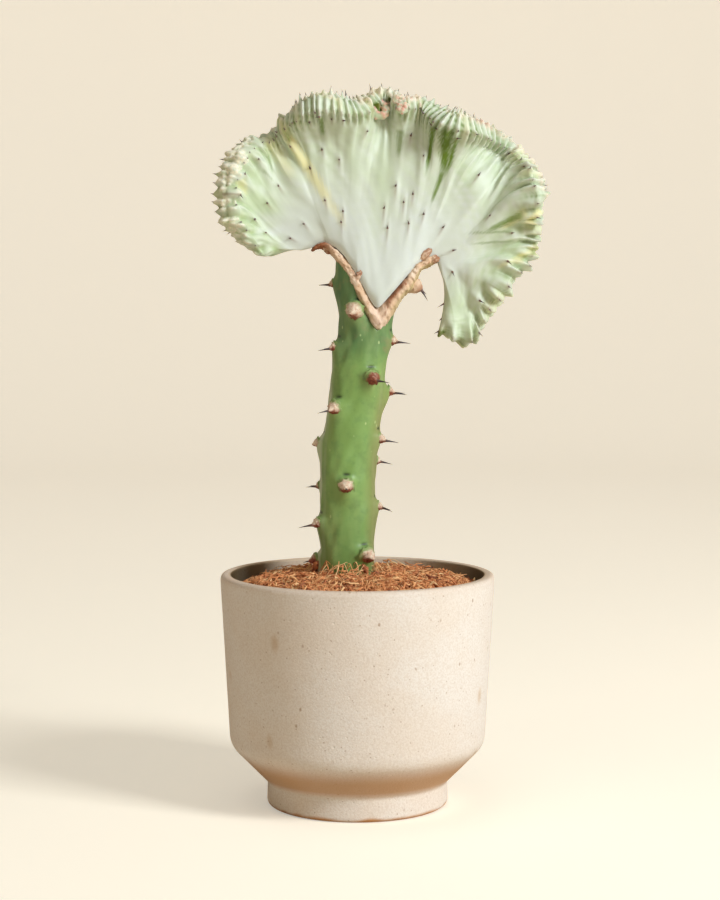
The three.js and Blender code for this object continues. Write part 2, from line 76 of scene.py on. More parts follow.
# Pot: rim radius and height from the frame, the wall's thickness, radius and height of the shoulder and of
# the foot's top, and height of the floor inside
RIM_RADIUS, _, POT_HEIGHT = np.array(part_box("pot")[1]) / MM
WALL = 5.4
SHOULDER = (60.5, 29.2)
FOOT = (43.0, 11.0)
POT_FLOOR = 9.0

# Coir mound: height at the wall, rise to its middle, how flat its top is, its radius and its underside
COIR_WALL, COIR_RISE, COIR_POWER = 101.5, 8.6, 3.4
COIR_REACH = 59.0
COIR_UNDERSIDE = COIR_WALL - 8
# The stem where it leaves the coir
STEM_X, STEM_RADIUS = -4.8, 12.4
# Dried bits at the stem's foot: name, middle, way of the long axis, half length, half width
DRIED_BITS = [
    ("dried_leaf", (-19.4, -3.0, 113.2), (0.35, -0.4, 0.85), 3.6, 1.7),
    ("dried_stalk", (3.6, -11.2, 112.7), (-0.3, -0.45, 0.8), 3.3, 1.4),
    ("dried_chip", (-14.0, -12.5, 110.8), (0.9, -0.3, 0.3), 3.4, 1.2),
    ("dried_crumb", (7.8, -13.0, 110.4), (0.8, 0.2, 0.5), 2.6, 1.3),
]

# Rootstock: height, middle's x, half width, half depth
STOCK = [
    (58, -4.8, 4.5, 4.5),
    (62, -4.8, 9.5, 9.5),
    (72, -4.8, 11.8, 11.8),
    (111, -4.8, 12.4, 12.4),
    (132, -4.9, 12.8, 12.7),
    (151, -4.8, 12.9, 12.8),
    (169, -4.2, 12.7, 12.7),
    (183, -1.8, 12.9, 12.8),
    (192, -0.4, 12.9, 12.8),
    (202, 0.2, 12.6, 12.6),
    (213, 1.6, 12.1, 12.2),
    (223, 3.3, 12.1, 12.2),
    (234, 4.6, 13.3, 12.4),
    (241, 6.0, 15.4, 12.4),
    (250, 7.6, 17.6, 12.2),
    (262, 8.6, 18.8, 11.8),
]
# The V-cut in its top, x and z
STOCK_CUT = [
    (-12.2, 262),
    (-9.4, 258.6),
    (-7.1, 256.1),
    (-3.0, 248.1),
    (-0.3, 239.9),
    (2.6, 234.5),
    (5.3, 229.1),
    (8.9, 224.2),
    (12.9, 226.9),
    (16.7, 232.3),
    (20, 238.8),
    (27, 247),
]
# Tubercles: height, angle in degrees from the front towards +X, size, redness, and the lengths of the
# spines on the side of lower and of higher angles, as shares of the full length
TUBERCLES = [
    (120, 39, 1.5, 0.1, 0, 0),
    (153, -2, 1.4, -0.1, 0, 0.75),
    (189, -40, 1.35, 0, 1.1, 0),
    (217, -68, 1.0, 0.35, 1.0, 0.7),
    (246.5, -95, 0.85, 0, 0.9, 0.9),
    (142, 80, 0.95, 0.1, 0.9, 0.9),
    (174, 72, 1.05, 0, 0.5, 1.15),
    (203, 27, 1.4, 1.25, 0, 1.3),
    (234.5, -22, 1.65, -0.5, 0, 0),
    (163, 112, 0.9, 0.1, 1.0, 0.8),
    (196, 95, 1.05, 0.4, 1.1, 1.0),
    (220, 76, 1.0, 0, 0.5, 1.1),
    (134.5, -66, 1.1, 0.3, 1.2, 0),
    (172, -84, 1.0, -0.4, 0, 0),
    (207, -152, 1.0, 0.1, 1.0, 0.9),
    (236, -160, 1.0, 0.2, 0.8, 1.0),
    (117, -84, 1.2, 0.9, 0.6, 0),
    (151, -122, 1.0, 0.1, 1.1, 0.9),
    (184, -160, 1.05, 0.2, 1.0, 0.8),
    (214, 165, 1.0, 0.1, 0.9, 1.0),
]

# Scar tissue: outer x and z, inner x and z, half depth, from the arch over the left horn to the right tip
CALLUS = [
    (-21.9, 260.4, -21.6, 262.4, 3.0),
    (-18.6, 262.2, -18.2, 264.9, 4.2),
    (-15.0, 262.2, -14.2, 265.2, 5.4),
    (-12.4, 259.6, -10.8, 262.8, 6.8),
    (-9.8, 256.8, -7.4, 259.8, 8.0),
    (-7.2, 253.6, -4.2, 256.2, 9.0),
    (-4.0, 247.8, 1.2, 249.6, 10.6),
    (-0.6, 240.0, 4.4, 242.2, 12.2),
    (3.4, 232.2, 7.2, 237.0, 13.0),
    (8.8, 223.8, 8.9, 235.0, 13.3),
    (13.8, 227.4, 11.4, 237.2, 13.0),
    (17.8, 234.0, 14.6, 240.4, 12.5),
    (21.8, 240.2, 18.4, 244.4, 11.8),
    (25.6, 243.6, 22.2, 249.4, 10.8),
    (28.0, 248.6, 24.8, 252.8, 9.8),
    (29.8, 252.2, 27.8, 255.6, 8.6),
    (33.0, 253.8, 31.2, 257.6, 7.6),
    (36.8, 255.8, 35.2, 259.8, 6.4),
    (38.4, 257.4, 37.4, 259.4, 4.8),
]
# The dry tubercle on its right arm: place, and its way out in degrees from the front
CALLUS_TUBERCLE = (27.6, -4.0, 244.6, 64)
# Lumps on it: name, middle, way of the long axis, half length, half width, how brown the far end is
CALLUS_LUMPS = [
    ("graft_upper_flap", (30.6, -6.0, 259.0), (0.85, -0.2, 0.62), 5.0, 2.0, 0.75),
    ("graft_lower_flap", (35.0, -5.8, 256.8), (0.9, -0.3, 0.25), 3.4, 1.7, 0.8),
    ("graft_wound", (0.4, -9.0, 248.8), (0.4, -0.2, 0.9), 4.2, 2.2, 0.9),
    ("graft_arch_foot", (-14.2, -2.6, 262.0), (0.5, -0.3, -0.8), 2.6, 1.7, 0.9),
]

# Crest: its growing edge. x and z of the band's middle, how far it stands forward, its lean forward in
# degrees and the way its ribs grow in degrees from +X
EDGE = [
    (-40, 260, 0, 5, 182),
    (-47.5, 262.5, 5, 30, 196),
    (-54, 269, 11, 52, 195),
    (-59, 278, 15, 62, 185),
    (-60, 288, 16, 66, 178),
    (-58, 298, 14, 62, 165),
    (-53.5, 306, 8, 50, 145),
    (-47, 310.5, 0, 40, 120),
    (-41, 313, -4, 25, 112),
    (-36, 317, -3, 28, 115),
    (-31.5, 321, 4, 45, 120),
    (-25, 326, 12, 58, 110),
    (-17, 328.5, 15, 60, 100),
    (-8, 327.5, 15, 60, 96),
    (0, 326.5, 10, 55, 92),
    (5.5, 328.5, 5, 46, 90),
    (10.5, 332.5, 0, 38, 90),
    (15.5, 332.5, 1, 44, 88),
    (20, 328, 6, 58, 86),
    (25, 328.5, 4, 42, 84),
    (30, 328.5, 0.5, 34, 82),
    (36.5, 324, 5, 48, 78),
    (42.5, 321, 13, 60, 72),
    (50, 319, 10, 55, 66),
    (58, 316.5, -1, 40, 58),
    (66.5, 312.5, -8, 32, 48),
    (75, 306, -8, 30, 38),
    (80.5, 298.5, 0, 30, 24),
    (82.5, 290, 7, 25, 10),
    (83, 282, 6, 8, 0),
    (82.5, 274.5, 1, 0, -8),
    (82, 266.5, -3, -8, -14),
    (78.5, 258.5, -2, -8, -22),
    (72.5, 251, 2, -5, -30),
    (67, 243, 3, 0, -38),
    (62, 235, 0, 5, -48),
    (57, 227.5, -2, 5, -60),
    (52.5, 222.5, -1, 0, -78),
    (45.5, 222, 1, 0, -92),
    (38.5, 225.5, 0, 0, -104),
]
# The line its ribs rise from: x, z and half thickness
ROOT = [
    (-26.5, 261.4, 3),
    (-22, 262.6, 3.5),
    (-15, 265.0, 4.5),
    (-9.8, 262.6, 6.5),
    (-5.6, 258.2, 8),
    (0.2, 249.2, 10.8),
    (8.7, 233.2, 12.7),
    (17.2, 242.8, 11.6),
    (24.5, 251.2, 9.2),
    (30.5, 256.2, 6),
    (35.4, 258.4, 5),
    (37.6, 255.6, 4.5),
    (39.8, 249, 4),
]
# Where on that line the columns start, and how far apart the crimps stand, at each tenth of the edge
ROOT_STARTS = [0, 1, 2, 3.2, 5.2, 7.4, 8.5, 9.3, 10.1, 11, 12]
CRIMP_PITCH = [4.6, 4.4, 4.0, 3.2, 3.2, 3.2, 3.6, 4.6, 5.4, 6.4, 7.0]
# Where the growing line runs over the cap, from 1 at its front shoulder to -1 at its back one
GROWING_LINE = [0.15, 0.2, 0.05, -0.55, -0.5, -0.3, -0.55, -0.2, 0, 0, 0]
CREST_COLUMNS = 1000
FACE_STEPS = 36
CAP_STEPS = 24
# Half thickness of its face, of its edge and of the edge at the whorls, how far the cap stands over the edge,
# and the radius that turns the cap's angles into lengths
FACE_HALF, EDGE_HALF, WHORL_HALF = 4.4, 5.4, 3.5
CAP_HEIGHT = 3.0
CAP_RADIUS = 4.2
BACK_SPINES = 58
# Spines on the front face, as pixels of the photograph
FACE_SPINES_SEEN = [
    (292, 146), (310, 168), (325, 200), (342, 213), (342, 221), (278, 185), (266, 203), (253, 220),
    (304, 224), (265, 233), (292, 239), (243, 174), (257, 160), (237, 195), (322, 149), (339, 161),
    (366, 131), (396, 185), (413, 194), (404, 203), (384, 209), (408, 221), (388, 229), (424, 215),
    (443, 228), (454, 250), (479, 174), (491, 216), (511, 233), (508, 263), (424, 155), (411, 137),
    (512, 148), (529, 165), (481, 300), (452, 272), (358, 274), (438, 318), (441, 304), (437, 327),
    (310, 120), (319, 115), (332, 118), (343, 119), (434, 124), (439, 128), (457, 137),
]
# Hollows and long tips of the growing edge: pixel, radius along the edge in millimetres, radius across the
# cap as a share of it
HOLLOWS_SEEN = [
    (379, 111, 1.9, 0.4), (388, 102, 1.1, 0.25),
]
TIPS_SEEN = [
    (439, 329, 1.8, 1.2), (464, 345, 1.6, 1.0), (481, 342, 1.8, 1.2), (509, 292, 1.5, 1.0),
    (527, 270, 1.5, 1.0), (541, 260, 1.6, 1.0), (547, 194, 1.5, 1.0), (218, 228, 1.6, 1.0),
    (279, 121, 1.6, 1.0), (252, 137, 1.6, 1.0),
]
# Tight whorls of the growing edge: pixel, radii of the ring and of its section in millimetres, blush, and how
# far it sits back
WHORLS_SEEN = [
    (380, 110, 2.9, 1.6, 1.2, -0.8), (390, 101, 1.7, 1.0, 0.9, 0.3), (403, 108, 1.5, 1.5, 1.1, 0.9),
    (401, 96, 1.3, 1.2, 0.7, 0.7),
]
# Small bumps on the growing line: place along it, spread, count, spread over the cap in millimetres, size
# and blush
BUMPS = [
    (0.1, 0.09, 110, 2.2, 1.0, 0.04), (0.17, 0.03, 12, 2.2, 2.0, 0.0),
    (0.29, 0.07, 30, 0.8, 0.8, 0.2), (0.41, 0.035, 44, 2.6, 1.1, 0.3),
    (0.47, 0.02, 24, 2.4, 1.1, 0.6), (0.57, 0.05, 30, 0.8, 0.8, 0.3),
    (0.605, 0.012, 12, 1.2, 1.0, 1.0), (0.66, 0.09, 120, 1.4, 0.8, 0.25),
]
# How bold the ribs are at each tenth of the edge, and how far up the face its folds begin
RIB_BOLDNESS = [0.7, 0.8, 0.6, 0.45, 0.28, 0.28, 0.5, 0.9, 1.5, 1.1, 0.8]
FOLD_STARTS = [0.08, 0.15, 0.5, 0.58, 0.4, 0.45, 0.6, 0.4, 0.15, 0.1, 0.08]
# Coloured parts of the front face: pixel, half width and half length in pixels, lean in degrees from
# upright towards +X, strength
GREEN_SEEN = [
    (262, 203, 10, 22, -62, 0.55), (245, 221, 10, 20, -70, 0.45), (262, 240, 8, 26, -75, 0.4),
    (258, 178, 6, 20, -45, 0.5), (352, 160, 8, 30, -8, 0.3), (384, 170, 12, 36, 2, 0.35),
    (330, 150, 5, 20, -12, 0.3), (492, 185, 16, 10, 0, 0.2), (455, 300, 16, 26, -10, 0.45),
    (512, 250, 5, 16, 58, 0.4), (470, 325, 8, 14, 0, 0.4), (268, 155, 3, 12, -25, 0.5),
    (376, 215, 8, 26, 0, 0.18), (268, 252, 14, 4, 0, 0.4),
]
# Stripes along the ribs of the front face: pixels where each starts and ends, half widths there, strength.
# The first is painted shade in the hollow in the middle of the largest whorl.
DEEP_GREEN_SEEN = [
    (379, 105, 379, 117, 5.0, 5.0, 0.9), (434, 126, 426, 174, 4.6, 1.4, 1.0),
    (447, 129, 444, 178, 10.5, 3.0, 1.0), (457, 136, 446, 176, 3.4, 1.8, 0.95),
    (443, 171, 431, 204, 3.8, 1.2, 0.85), (321, 116, 323, 136, 3.6, 3.0, 0.8),
    (401, 130, 398, 158, 5.2, 2.4, 0.6), (437, 326, 446, 334, 2.2, 3.2, 0.9),
    (522, 215, 484, 232, 5.0, 1.8, 0.8), (510, 232, 466, 233, 1.6, 1.2, 0.5),
    (512, 241, 470, 244, 1.6, 1.2, 0.45), (286, 131, 291, 143, 2.2, 1.4, 0.6),
    (537, 247, 520, 260, 2.6, 1.6, 0.5), (268, 155, 273, 172, 1.6, 1.2, 0.5),
    (262, 170, 275, 182, 1.6, 1.2, 0.4), (252, 158, 262, 172, 3.0, 2.0, 0.3),
]
YELLOW_SEEN = [
    (281, 122, 290, 143, 4.2, 4.6, 0.7), (288, 136, 313, 176, 4.4, 7.0, 1.0),
    (308, 168, 331, 204, 6.4, 6.0, 0.8), (326, 198, 346, 226, 5.8, 4.0, 0.5),
    (268, 138, 294, 178, 8.0, 6.0, 0.5), (240, 180, 247, 196, 5.0, 3.0, 0.6),
    (541, 210, 524, 226, 3.4, 4.4, 1.0), (526, 212, 500, 230, 6.0, 3.4, 0.7),
    (538, 246, 508, 264, 4.4, 3.6, 0.85), (512, 262, 496, 268, 2.6, 2.0, 0.45),
    (310, 250, 288, 255, 2.4, 2.0, 0.4), (338, 90, 340, 112, 5.0, 4.0, 0.4),
]


# Meshes from whole arrays


def rows_at(rows, place, smooth=True):
    """Value of a table at places from 0 to 1: a Catmull-Rom curve through its rows, or straight lines."""
    rows = np.asarray(rows, float)
    rows = rows.reshape(len(rows), -1)
    last = len(rows) - 1
    scaled = np.clip(place, 0, 1) * last
    i = np.minimum(scaled.astype(int), last - 1)
    t = (scaled - i)[:, None]
    b, c = rows[i], rows[i + 1]
    if not smooth:
        return b + (c - b) * t
    a = np.where((i > 0)[:, None], rows[np.maximum(i - 1, 0)], 2 * b - c)
    d = np.where((i + 2 <= last)[:, None], rows[np.minimum(i + 2, last)], 2 * c - b)
    return b + 0.5 * t * (c - a + t * (2 * a - 5 * b + 4 * c - d + t * (3 * (b - c) + d - a)))


def hermite(t, low, slope_low, high, slope_high):
    """A cubic from low at t = 0 to high at t = 1, with these slopes at its ends."""
    return (
        (2 * t**3 - 3 * t**2 + 1) * low
        + (t**3 - 2 * t**2 + t) * slope_low
        + (3 * t**2 - 2 * t**3) * high
        + (t**3 - t**2) * slope_high
    )


def stations_at(stations, z):
    """Columns of a table at heights z: cubic curves between its rows, with slopes from their neighbours."""
    table = np.asarray(stations, float)
    heights, values = table[:, 0], table[:, 1:]
    last = len(table) - 1
    i = np.clip(np.searchsorted(heights, z, side="right") - 1, 0, last - 1)
    before, after = np.maximum(i - 1, 0), np.minimum(i + 2, last)
    rise = (heights[i + 1] - heights[i])[..., None]
    t = ((z - heights[i]) / rise[..., 0])[..., None]
    low, high = values[i], values[i + 1]
    slope_low = (high - values[before]) / (heights[i + 1] - heights[before])[..., None] * rise
    slope_high = (values[after] - low) / (heights[after] - heights[i])[..., None] * rise
    return hermite(t, low, slope_low, high, slope_high)


def smooth_step(low, high, value):
    """0 below low, 1 above high, and an S-curve between."""
    t = np.clip((value - low) / (high - low), 0, 1)
    return t * t * (3 - 2 * t)


def turns(count):
    """Angles of so many even steps round a circle."""
    return np.linspace(0, 2 * np.pi, count, endpoint=False)


def hump(value, middle, width):
    """A bell curve: 1 at the middle, about a third a width away."""
    return np.exp(-(((value - middle) / width) ** 2))


def unit(vectors):
    """Vectors scaled to length 1."""
    return vectors / np.maximum(np.linalg.norm(vectors, axis=-1, keepdims=True), 1e-9)


def waves(seed, *coordinates, count=7, low=0.5, high=2.0):
    """Smooth irregularity from about -1 to 1: a sum of sine waves with seeded directions and phases."""
    draw = np.random.default_rng(seed)
    total = 0
    for _ in range(count):
        rates = draw.uniform(low, high, len(coordinates)) * draw.choice([-1, 1], len(coordinates))
        way = sum(rate * values for rate, values in zip(rates, coordinates)) * 2 * np.pi
        total = total + np.sin(way + draw.uniform(0, 6.3))
    return total / np.sqrt(count * 1.4)


def grid_faces(columns, rows, wrap_columns=False, wrap_rows=False, start=0):
    """Quads of a grid stored column by column, turned so that column x row points outwards."""
    i = np.arange(columns if wrap_columns else columns - 1)
    j = np.arange(rows if wrap_rows else rows - 1)
    i, j = (a.ravel() for a in np.meshgrid(i, j, indexing="ij"))
    i2, j2 = (i + 1) % columns, (j + 1) % rows
    return start + np.stack([i * rows + j, i2 * rows + j, i2 * rows + j2, i * rows + j2], 1)


def blob(middle, way, length, width, sides=24, steps=16, uneven=0.12):
    """A lumpy ellipsoid: rings round its long axis of radius width * sqrt(1 - t * t), t from -1 to 1."""
    t = np.sin(np.linspace(-np.pi / 2, np.pi / 2, steps))[None]
    path = np.array([[middle]]) + unit(np.array(way, float)) * (length * t)[..., None]
    vertices, quads, triangles = tubes(path, width * np.sqrt(1.0004 - t**2), sides)
    lumps = uneven * min(width, length) * waves(SEED + 40, *(vertices.T / (1.1 * width)))
    return vertices + unit(vertices - middle) * lumps[:, None], quads, triangles


def pole_fans(columns, rows):
    """Triangles that close the first and last row of a grid wrapped round a pole: their middles are the two
    vertices after its own."""
    start = np.arange(columns) * rows
    after = np.roll(start, -1)
    first = np.stack([np.full(columns, columns * rows), after, start], 1)
    last = np.stack([start + rows - 1, after + rows - 1, np.full(columns, columns * rows + 1)], 1)
    return np.concatenate([first, last])


def ring_caps(ring_starts, sides):
    """Triangle fans that close rings, given each ring's first vertex: turned the way of the ring."""
    k = np.arange(1, sides - 1)
    return np.concatenate([np.stack([np.full(sides - 2, s), s + k, s + k + 1], 1) for s in ring_starts])


def make_piece(name, vertices, quads, triangles, material, nodes, attributes=None):
    """A smooth-shaded mesh object from millimetre arrays, riding on the root body in place of CAD nodes."""
    vertices = np.asarray(vertices, np.float64).reshape(-1, 3) * MM
    quads = np.asarray(quads, np.int32).reshape(-1, 4)
    triangles = np.asarray(triangles, np.int32).reshape(-1, 3)
    corners = np.concatenate([quads.ravel(), triangles.ravel()]).astype(np.int32)
    totals = np.concatenate([np.full(len(quads), 4), np.full(len(triangles), 3)]).astype(np.int32)
    starts = np.concatenate([[0], np.cumsum(totals)[:-1]]).astype(np.int32)
    mesh = bpy.data.meshes.new(name)
    mesh.vertices.add(len(vertices))
    mesh.vertices.foreach_set("co", vertices.ravel())
    mesh.loops.add(len(corners))
    mesh.loops.foreach_set("vertex_index", corners)
    mesh.polygons.add(len(totals))
    mesh.polygons.foreach_set("loop_start", starts)
    mesh.polygons.foreach_set("loop_total", totals)
    mesh.polygons.foreach_set("use_smooth", np.ones(len(totals), bool))
    for label, values in (attributes or {}).items():
        layer = mesh.attributes.new(label, "FLOAT", "POINT")
        layer.data.foreach_set("value", np.asarray(values, np.float32).ravel())
    mesh.update(calc_edges=True)
    mesh.validate()
    piece = bpy.data.objects.new(name, mesh)
    bpy.context.scene.collection.objects.link(piece)
    mesh.materials.append(material)
    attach(piece, "root")
    if nodes:
        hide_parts(*nodes)
    return piece


def frames_along(path):
    """Tangent and two side directions at each point of paths shaped (count, steps, 3)."""
    tangent = unit(np.gradient(path, axis=1))
    aside = np.where(np.abs(tangent[..., 2:3]) < 0.9, [0.0, 0.0, 1.0], [1.0, 0.0, 0.0])
    first = unit(np.cross(aside, tangent))
    return tangent, first, np.cross(tangent, first)


def tubes(path, radius, sides):
    """Tubes along many paths at once, closed at both ends. path is (count, steps, 3), radius (count, steps).

    Each point is path + radius * (cos a * side + sin a * other side).
    """
    count, steps, _ = path.shape
    _, first, second = frames_along(path)
    turn = turns(sides)
    ring = first[:, :, None] * np.cos(turn)[:, None] + second[:, :, None] * np.sin(turn)[:, None]
    vertices = path[:, :, None] + radius[:, :, None, None] * ring
    one = grid_faces(steps, sides, wrap_rows=True)[:, ::-1]
    offsets = np.arange(count) * steps * sides
    quads = (one[None] + offsets[:, None, None]).reshape(-1, 4)
    fan = ring_caps([0], sides)[:, ::-1]
    far = ring_caps([(steps - 1) * sides], sides)
    triangles = (np.concatenate([fan, far])[None] + offsets[:, None, None]).reshape(-1, 3)
    return vertices.reshape(-1, 3), quads, triangles


# Materials


class Wire:
    """A node's output. Python operators on it add Math nodes."""

    def __init__(self, look, socket):
        self.look, self.socket = look, socket

    def maths(self, operation, *values):
        return self.look.node("ShaderNodeMath", {"operation": operation}, dict(enumerate(values)))

    def __add__(self, other):
        return self.maths("ADD", self, other)

    def __radd__(self, other):
        return self.maths("ADD", other, self)

    def __sub__(self, other):
        return self.maths("SUBTRACT", self, other)

    def __rsub__(self, other):
        return self.maths("SUBTRACT", other, self)

    def __mul__(self, other):
        return self.maths("MULTIPLY", self, other)

    def clamped(self):
        return self.look.node("ShaderNodeClamp", {}, {0: self})

    def ramp(self, low, high):
        """0 at low and below, 1 at high and above, smooth between."""
        settings = {"interpolation_type": "SMOOTHSTEP"}
        return self.look.node("ShaderNodeMapRange", settings, {0: self, 1: low, 2: high})


class Look:
    """A material being built from nodes."""

    def __init__(self, name):
        self.material = bpy.data.materials.new(name)
        self.material.use_nodes = True
        self.tree = self.material.node_tree
        self.tree.nodes.clear()

    def node(self, kind, settings, inputs, output=0):
        """Any node: its settings are set first, then its sockets get values or links."""
        made = self.tree.nodes.new(kind)
        for name, value in settings.items():
            if name == "stops":
                ramp = made.color_ramp
                while len(ramp.elements) < len(value):
                    ramp.elements.new(0.5)
                for element, (place, colour) in zip(ramp.elements, value):
                    element.position, element.color = place, (*colour, 1)
            else:
                setattr(made, name, value)
        for key, value in inputs.items():
            socket = made.inputs[key]
            if isinstance(value, Wire):
                self.tree.links.new(value.socket, socket)
            elif isinstance(value, tuple) and socket.type == "RGBA":
                socket.default_value = (*value[:3], 1)
            else:
                socket.default_value = value
        return Wire(self, made.outputs[output])

    def position(self, scale=(1, 1, 1)):
        """Object coordinates in metres, stretched."""
        place = self.node("ShaderNodeTexCoord", {}, {}, "Object")
        return self.node("ShaderNodeMapping", {}, {"Vector": place, "Scale": scale})

    def attribute(self, name):
        return self.node("ShaderNodeAttribute", {"attribute_name": name}, {}, "Fac")

    def noise(self, scale, detail=3, roughness=0.55, stretch=(1, 1, 1)):
        """Cloudy noise from 0 to 1, with a scale in features a metre."""
        inputs = {"Vector": self.position(stretch), "Scale": scale, "Detail": detail, "Roughness": roughness}
        return self.node("ShaderNodeTexNoise", {}, inputs, "Fac")

    def cells(self, scale, randomness=1.0, stretch=(1, 1, 1), output="Distance"):
        inputs = {"Vector": self.position(stretch), "Scale": scale, "Randomness": randomness}
        return self.node("ShaderNodeTexVoronoi", {}, inputs, output)

    def blend(self, share, first, second, mode="MIX"):
        """Two colours mixed by a share from 0 to 1."""
        settings = {"data_type": "RGBA", "blend_type": mode}
        return self.node("ShaderNodeMix", settings, {0: share, 6: first, 7: second}, 2)

    def bump(self, height, strength, distance, normal=None):
        inputs = {"Height": height, "Strength": strength, "Distance": distance}
        if normal is not None:
            inputs["Normal"] = normal
        return self.node("ShaderNodeBump", {}, inputs)

    def finish(self, **sockets):
        """Ends in a Principled shader with these sockets, and returns the material."""
        inputs = {name.replace("_", " "): value for name, value in sockets.items()}
        shader = self.node("ShaderNodeBsdfPrincipled", {}, inputs)
        out = self.tree.nodes.new("ShaderNodeOutputMaterial")
        self.tree.links.new(shader.socket, out.inputs[0])
        return self.material


def rgb(red, green, blue):
    """A colour given in 0 to 255 screen values, as the linear values that shaders take."""
    share = np.array([red, green, blue]) / 255
    linear = np.where(share <= 0.04045, share / 12.92, ((share + 0.055) / 1.055) ** 2.4)
    return tuple(float(value) for value in linear)


class CoralLook(bpy.types.PropertyGroup):
    """Colours and amounts that a user would change."""

    crimp_height: FloatProperty(
        name="Crimp height",
        description="How far the crimps of the growing edge stand up, mm",
        default=0.85,
        min=0,
    )
    rib_height: FloatProperty(
        name="Rib height",
        description="How far the crest's ribs stand up, mm",
        default=0.8,
        min=0,
    )
    spine_length: FloatProperty(
        name="Spine length",
        description="Length of the stem's spines, mm",
        default=6.0,
        min=0,
    )
    coir_shreds: IntProperty(
        name="Coir shreds",
        description="How many short shreds lie on the mound",
        default=3200,
        min=1,
    )
    coir_threads: IntProperty(
        name="Coir threads",
        description="How many thin threads lie on the mound",
        default=2200,
        min=1,
    )
    clay: FloatVectorProperty(
        name="Clay",
        description="Colour of the matt stoneware",
        subtype="COLOR",
        default=rgb(237, 230, 222),
    )
    stem_green: FloatVectorProperty(
        name="Stem green",
        description="Colour of the rootstock's middle",
        subtype="COLOR",
        default=rgb(128, 164, 88),
    )
    crest_pale: FloatVectorProperty(
        name="Crest pale",
        description="Colour of the crest's pale skin",
        subtype="COLOR",
        default=rgb(213, 221, 206),
    )


# Looks


def stoneware(clay):
    """Matt cream stoneware: sandy grain, soft blotches, brown specks of a few sizes, a bare clay foot, olive
    glaze inside with painted shade towards its left and right, and painted warm shade on the cone under the
    shoulder.
    """
    look = Look("matt_stoneware")
    cloud = look.noise(22, 4)
    grain = look.noise(1100, 2, 0.7)
    warm = look.blend(cloud.ramp(0.35, 0.7) * 0.7, clay, rgb(232, 218, 203))
    toned = look.blend(grain.ramp(0.38, 0.66) * 0.34, warm, rgb(206, 186, 164))
    blotch = look.cells(52, 1.0, (1, 1, 0.6)).ramp(0.19, 0.04) * look.noise(31, 2).ramp(0.46, 0.6)
    toned = look.blend(blotch * 0.55, toned, rgb(201, 168, 128))
    dots = look.cells(150, 1.0, (1, 1, 0.7)).ramp(0.13, 0.05) * look.noise(90, 2).ramp(0.47, 0.54)
    fine_dots = look.cells(430, 1.0).ramp(0.2, 0.1) * look.noise(240, 1).ramp(0.54, 0.6)
    toned = look.blend((dots * 0.6 + fine_dots * 0.5).clamped(), toned, rgb(156, 116, 76))
    toned = look.blend(look.attribute("inside").ramp(0.0, 0.05) * 0.34, toned, rgb(204, 170, 112))
    # Painted shade: the inner wall turns dark olive towards its left and right, and least at the back
    toned = look.blend(look.attribute("inside"), toned, rgb(60, 47, 12))
    toned = look.blend(look.attribute("lip") * (0.3 + cloud * 0.3), toned, rgb(190, 152, 108))
    # Painted warm shade on the cone under the shoulder, from the under attribute
    toned = look.blend(look.attribute("under") * (0.76 + cloud * 0.2), toned, rgb(191, 146, 102))
    toned = look.blend(look.attribute("bare"), toned, rgb(196, 140, 84))
    pits = look.cells(330, 1.0).ramp(0.2, 0.05) * look.noise(150, 1).ramp(0.5, 0.6)
    sandy = look.bump(look.noise(900, 3, 0.7), 0.35, 0.0006)
    surface = look.bump(1 - pits, 0.35, 0.0006, sandy)
    rough = 0.72 + cloud * 0.1
    return look.finish(Base_Color=toned, Roughness=rough, Normal=surface, Specular_IOR_Level=0.35)


def damp_mix():
    """Dark damp potting mix, crumbly."""
    look = Look("damp_potting_mix")
    crumbs = look.cells(420, 1.0)
    colour = look.blend(crumbs.ramp(0.1, 0.8), rgb(46, 32, 24), rgb(92, 62, 44))
    return look.finish(Base_Color=colour, Roughness=0.9, Normal=look.bump(crumbs, 0.8, 0.001))


def dry_coir():
    """Dry coir: each shred has its own tone, from dark brown through orange to straw."""
    look = Look("dry_coir")
    tone = look.attribute("tone") + (look.noise(700, 3) - 0.5) * 0.3
    stops = [
        (0.0, rgb(96, 46, 28)),
        (0.22, rgb(184, 112, 72)),
        (0.45, rgb(220, 142, 88)),
        (0.72, rgb(240, 178, 120)),
        (1.0, rgb(240, 202, 148)),
    ]
    colour = look.node("ShaderNodeValToRGB", {"stops": stops}, {0: tone})
    return look.finish(Base_Color=colour, Roughness=0.85, Normal=look.bump(look.noise(2600, 2), 0.4, 0.0003))


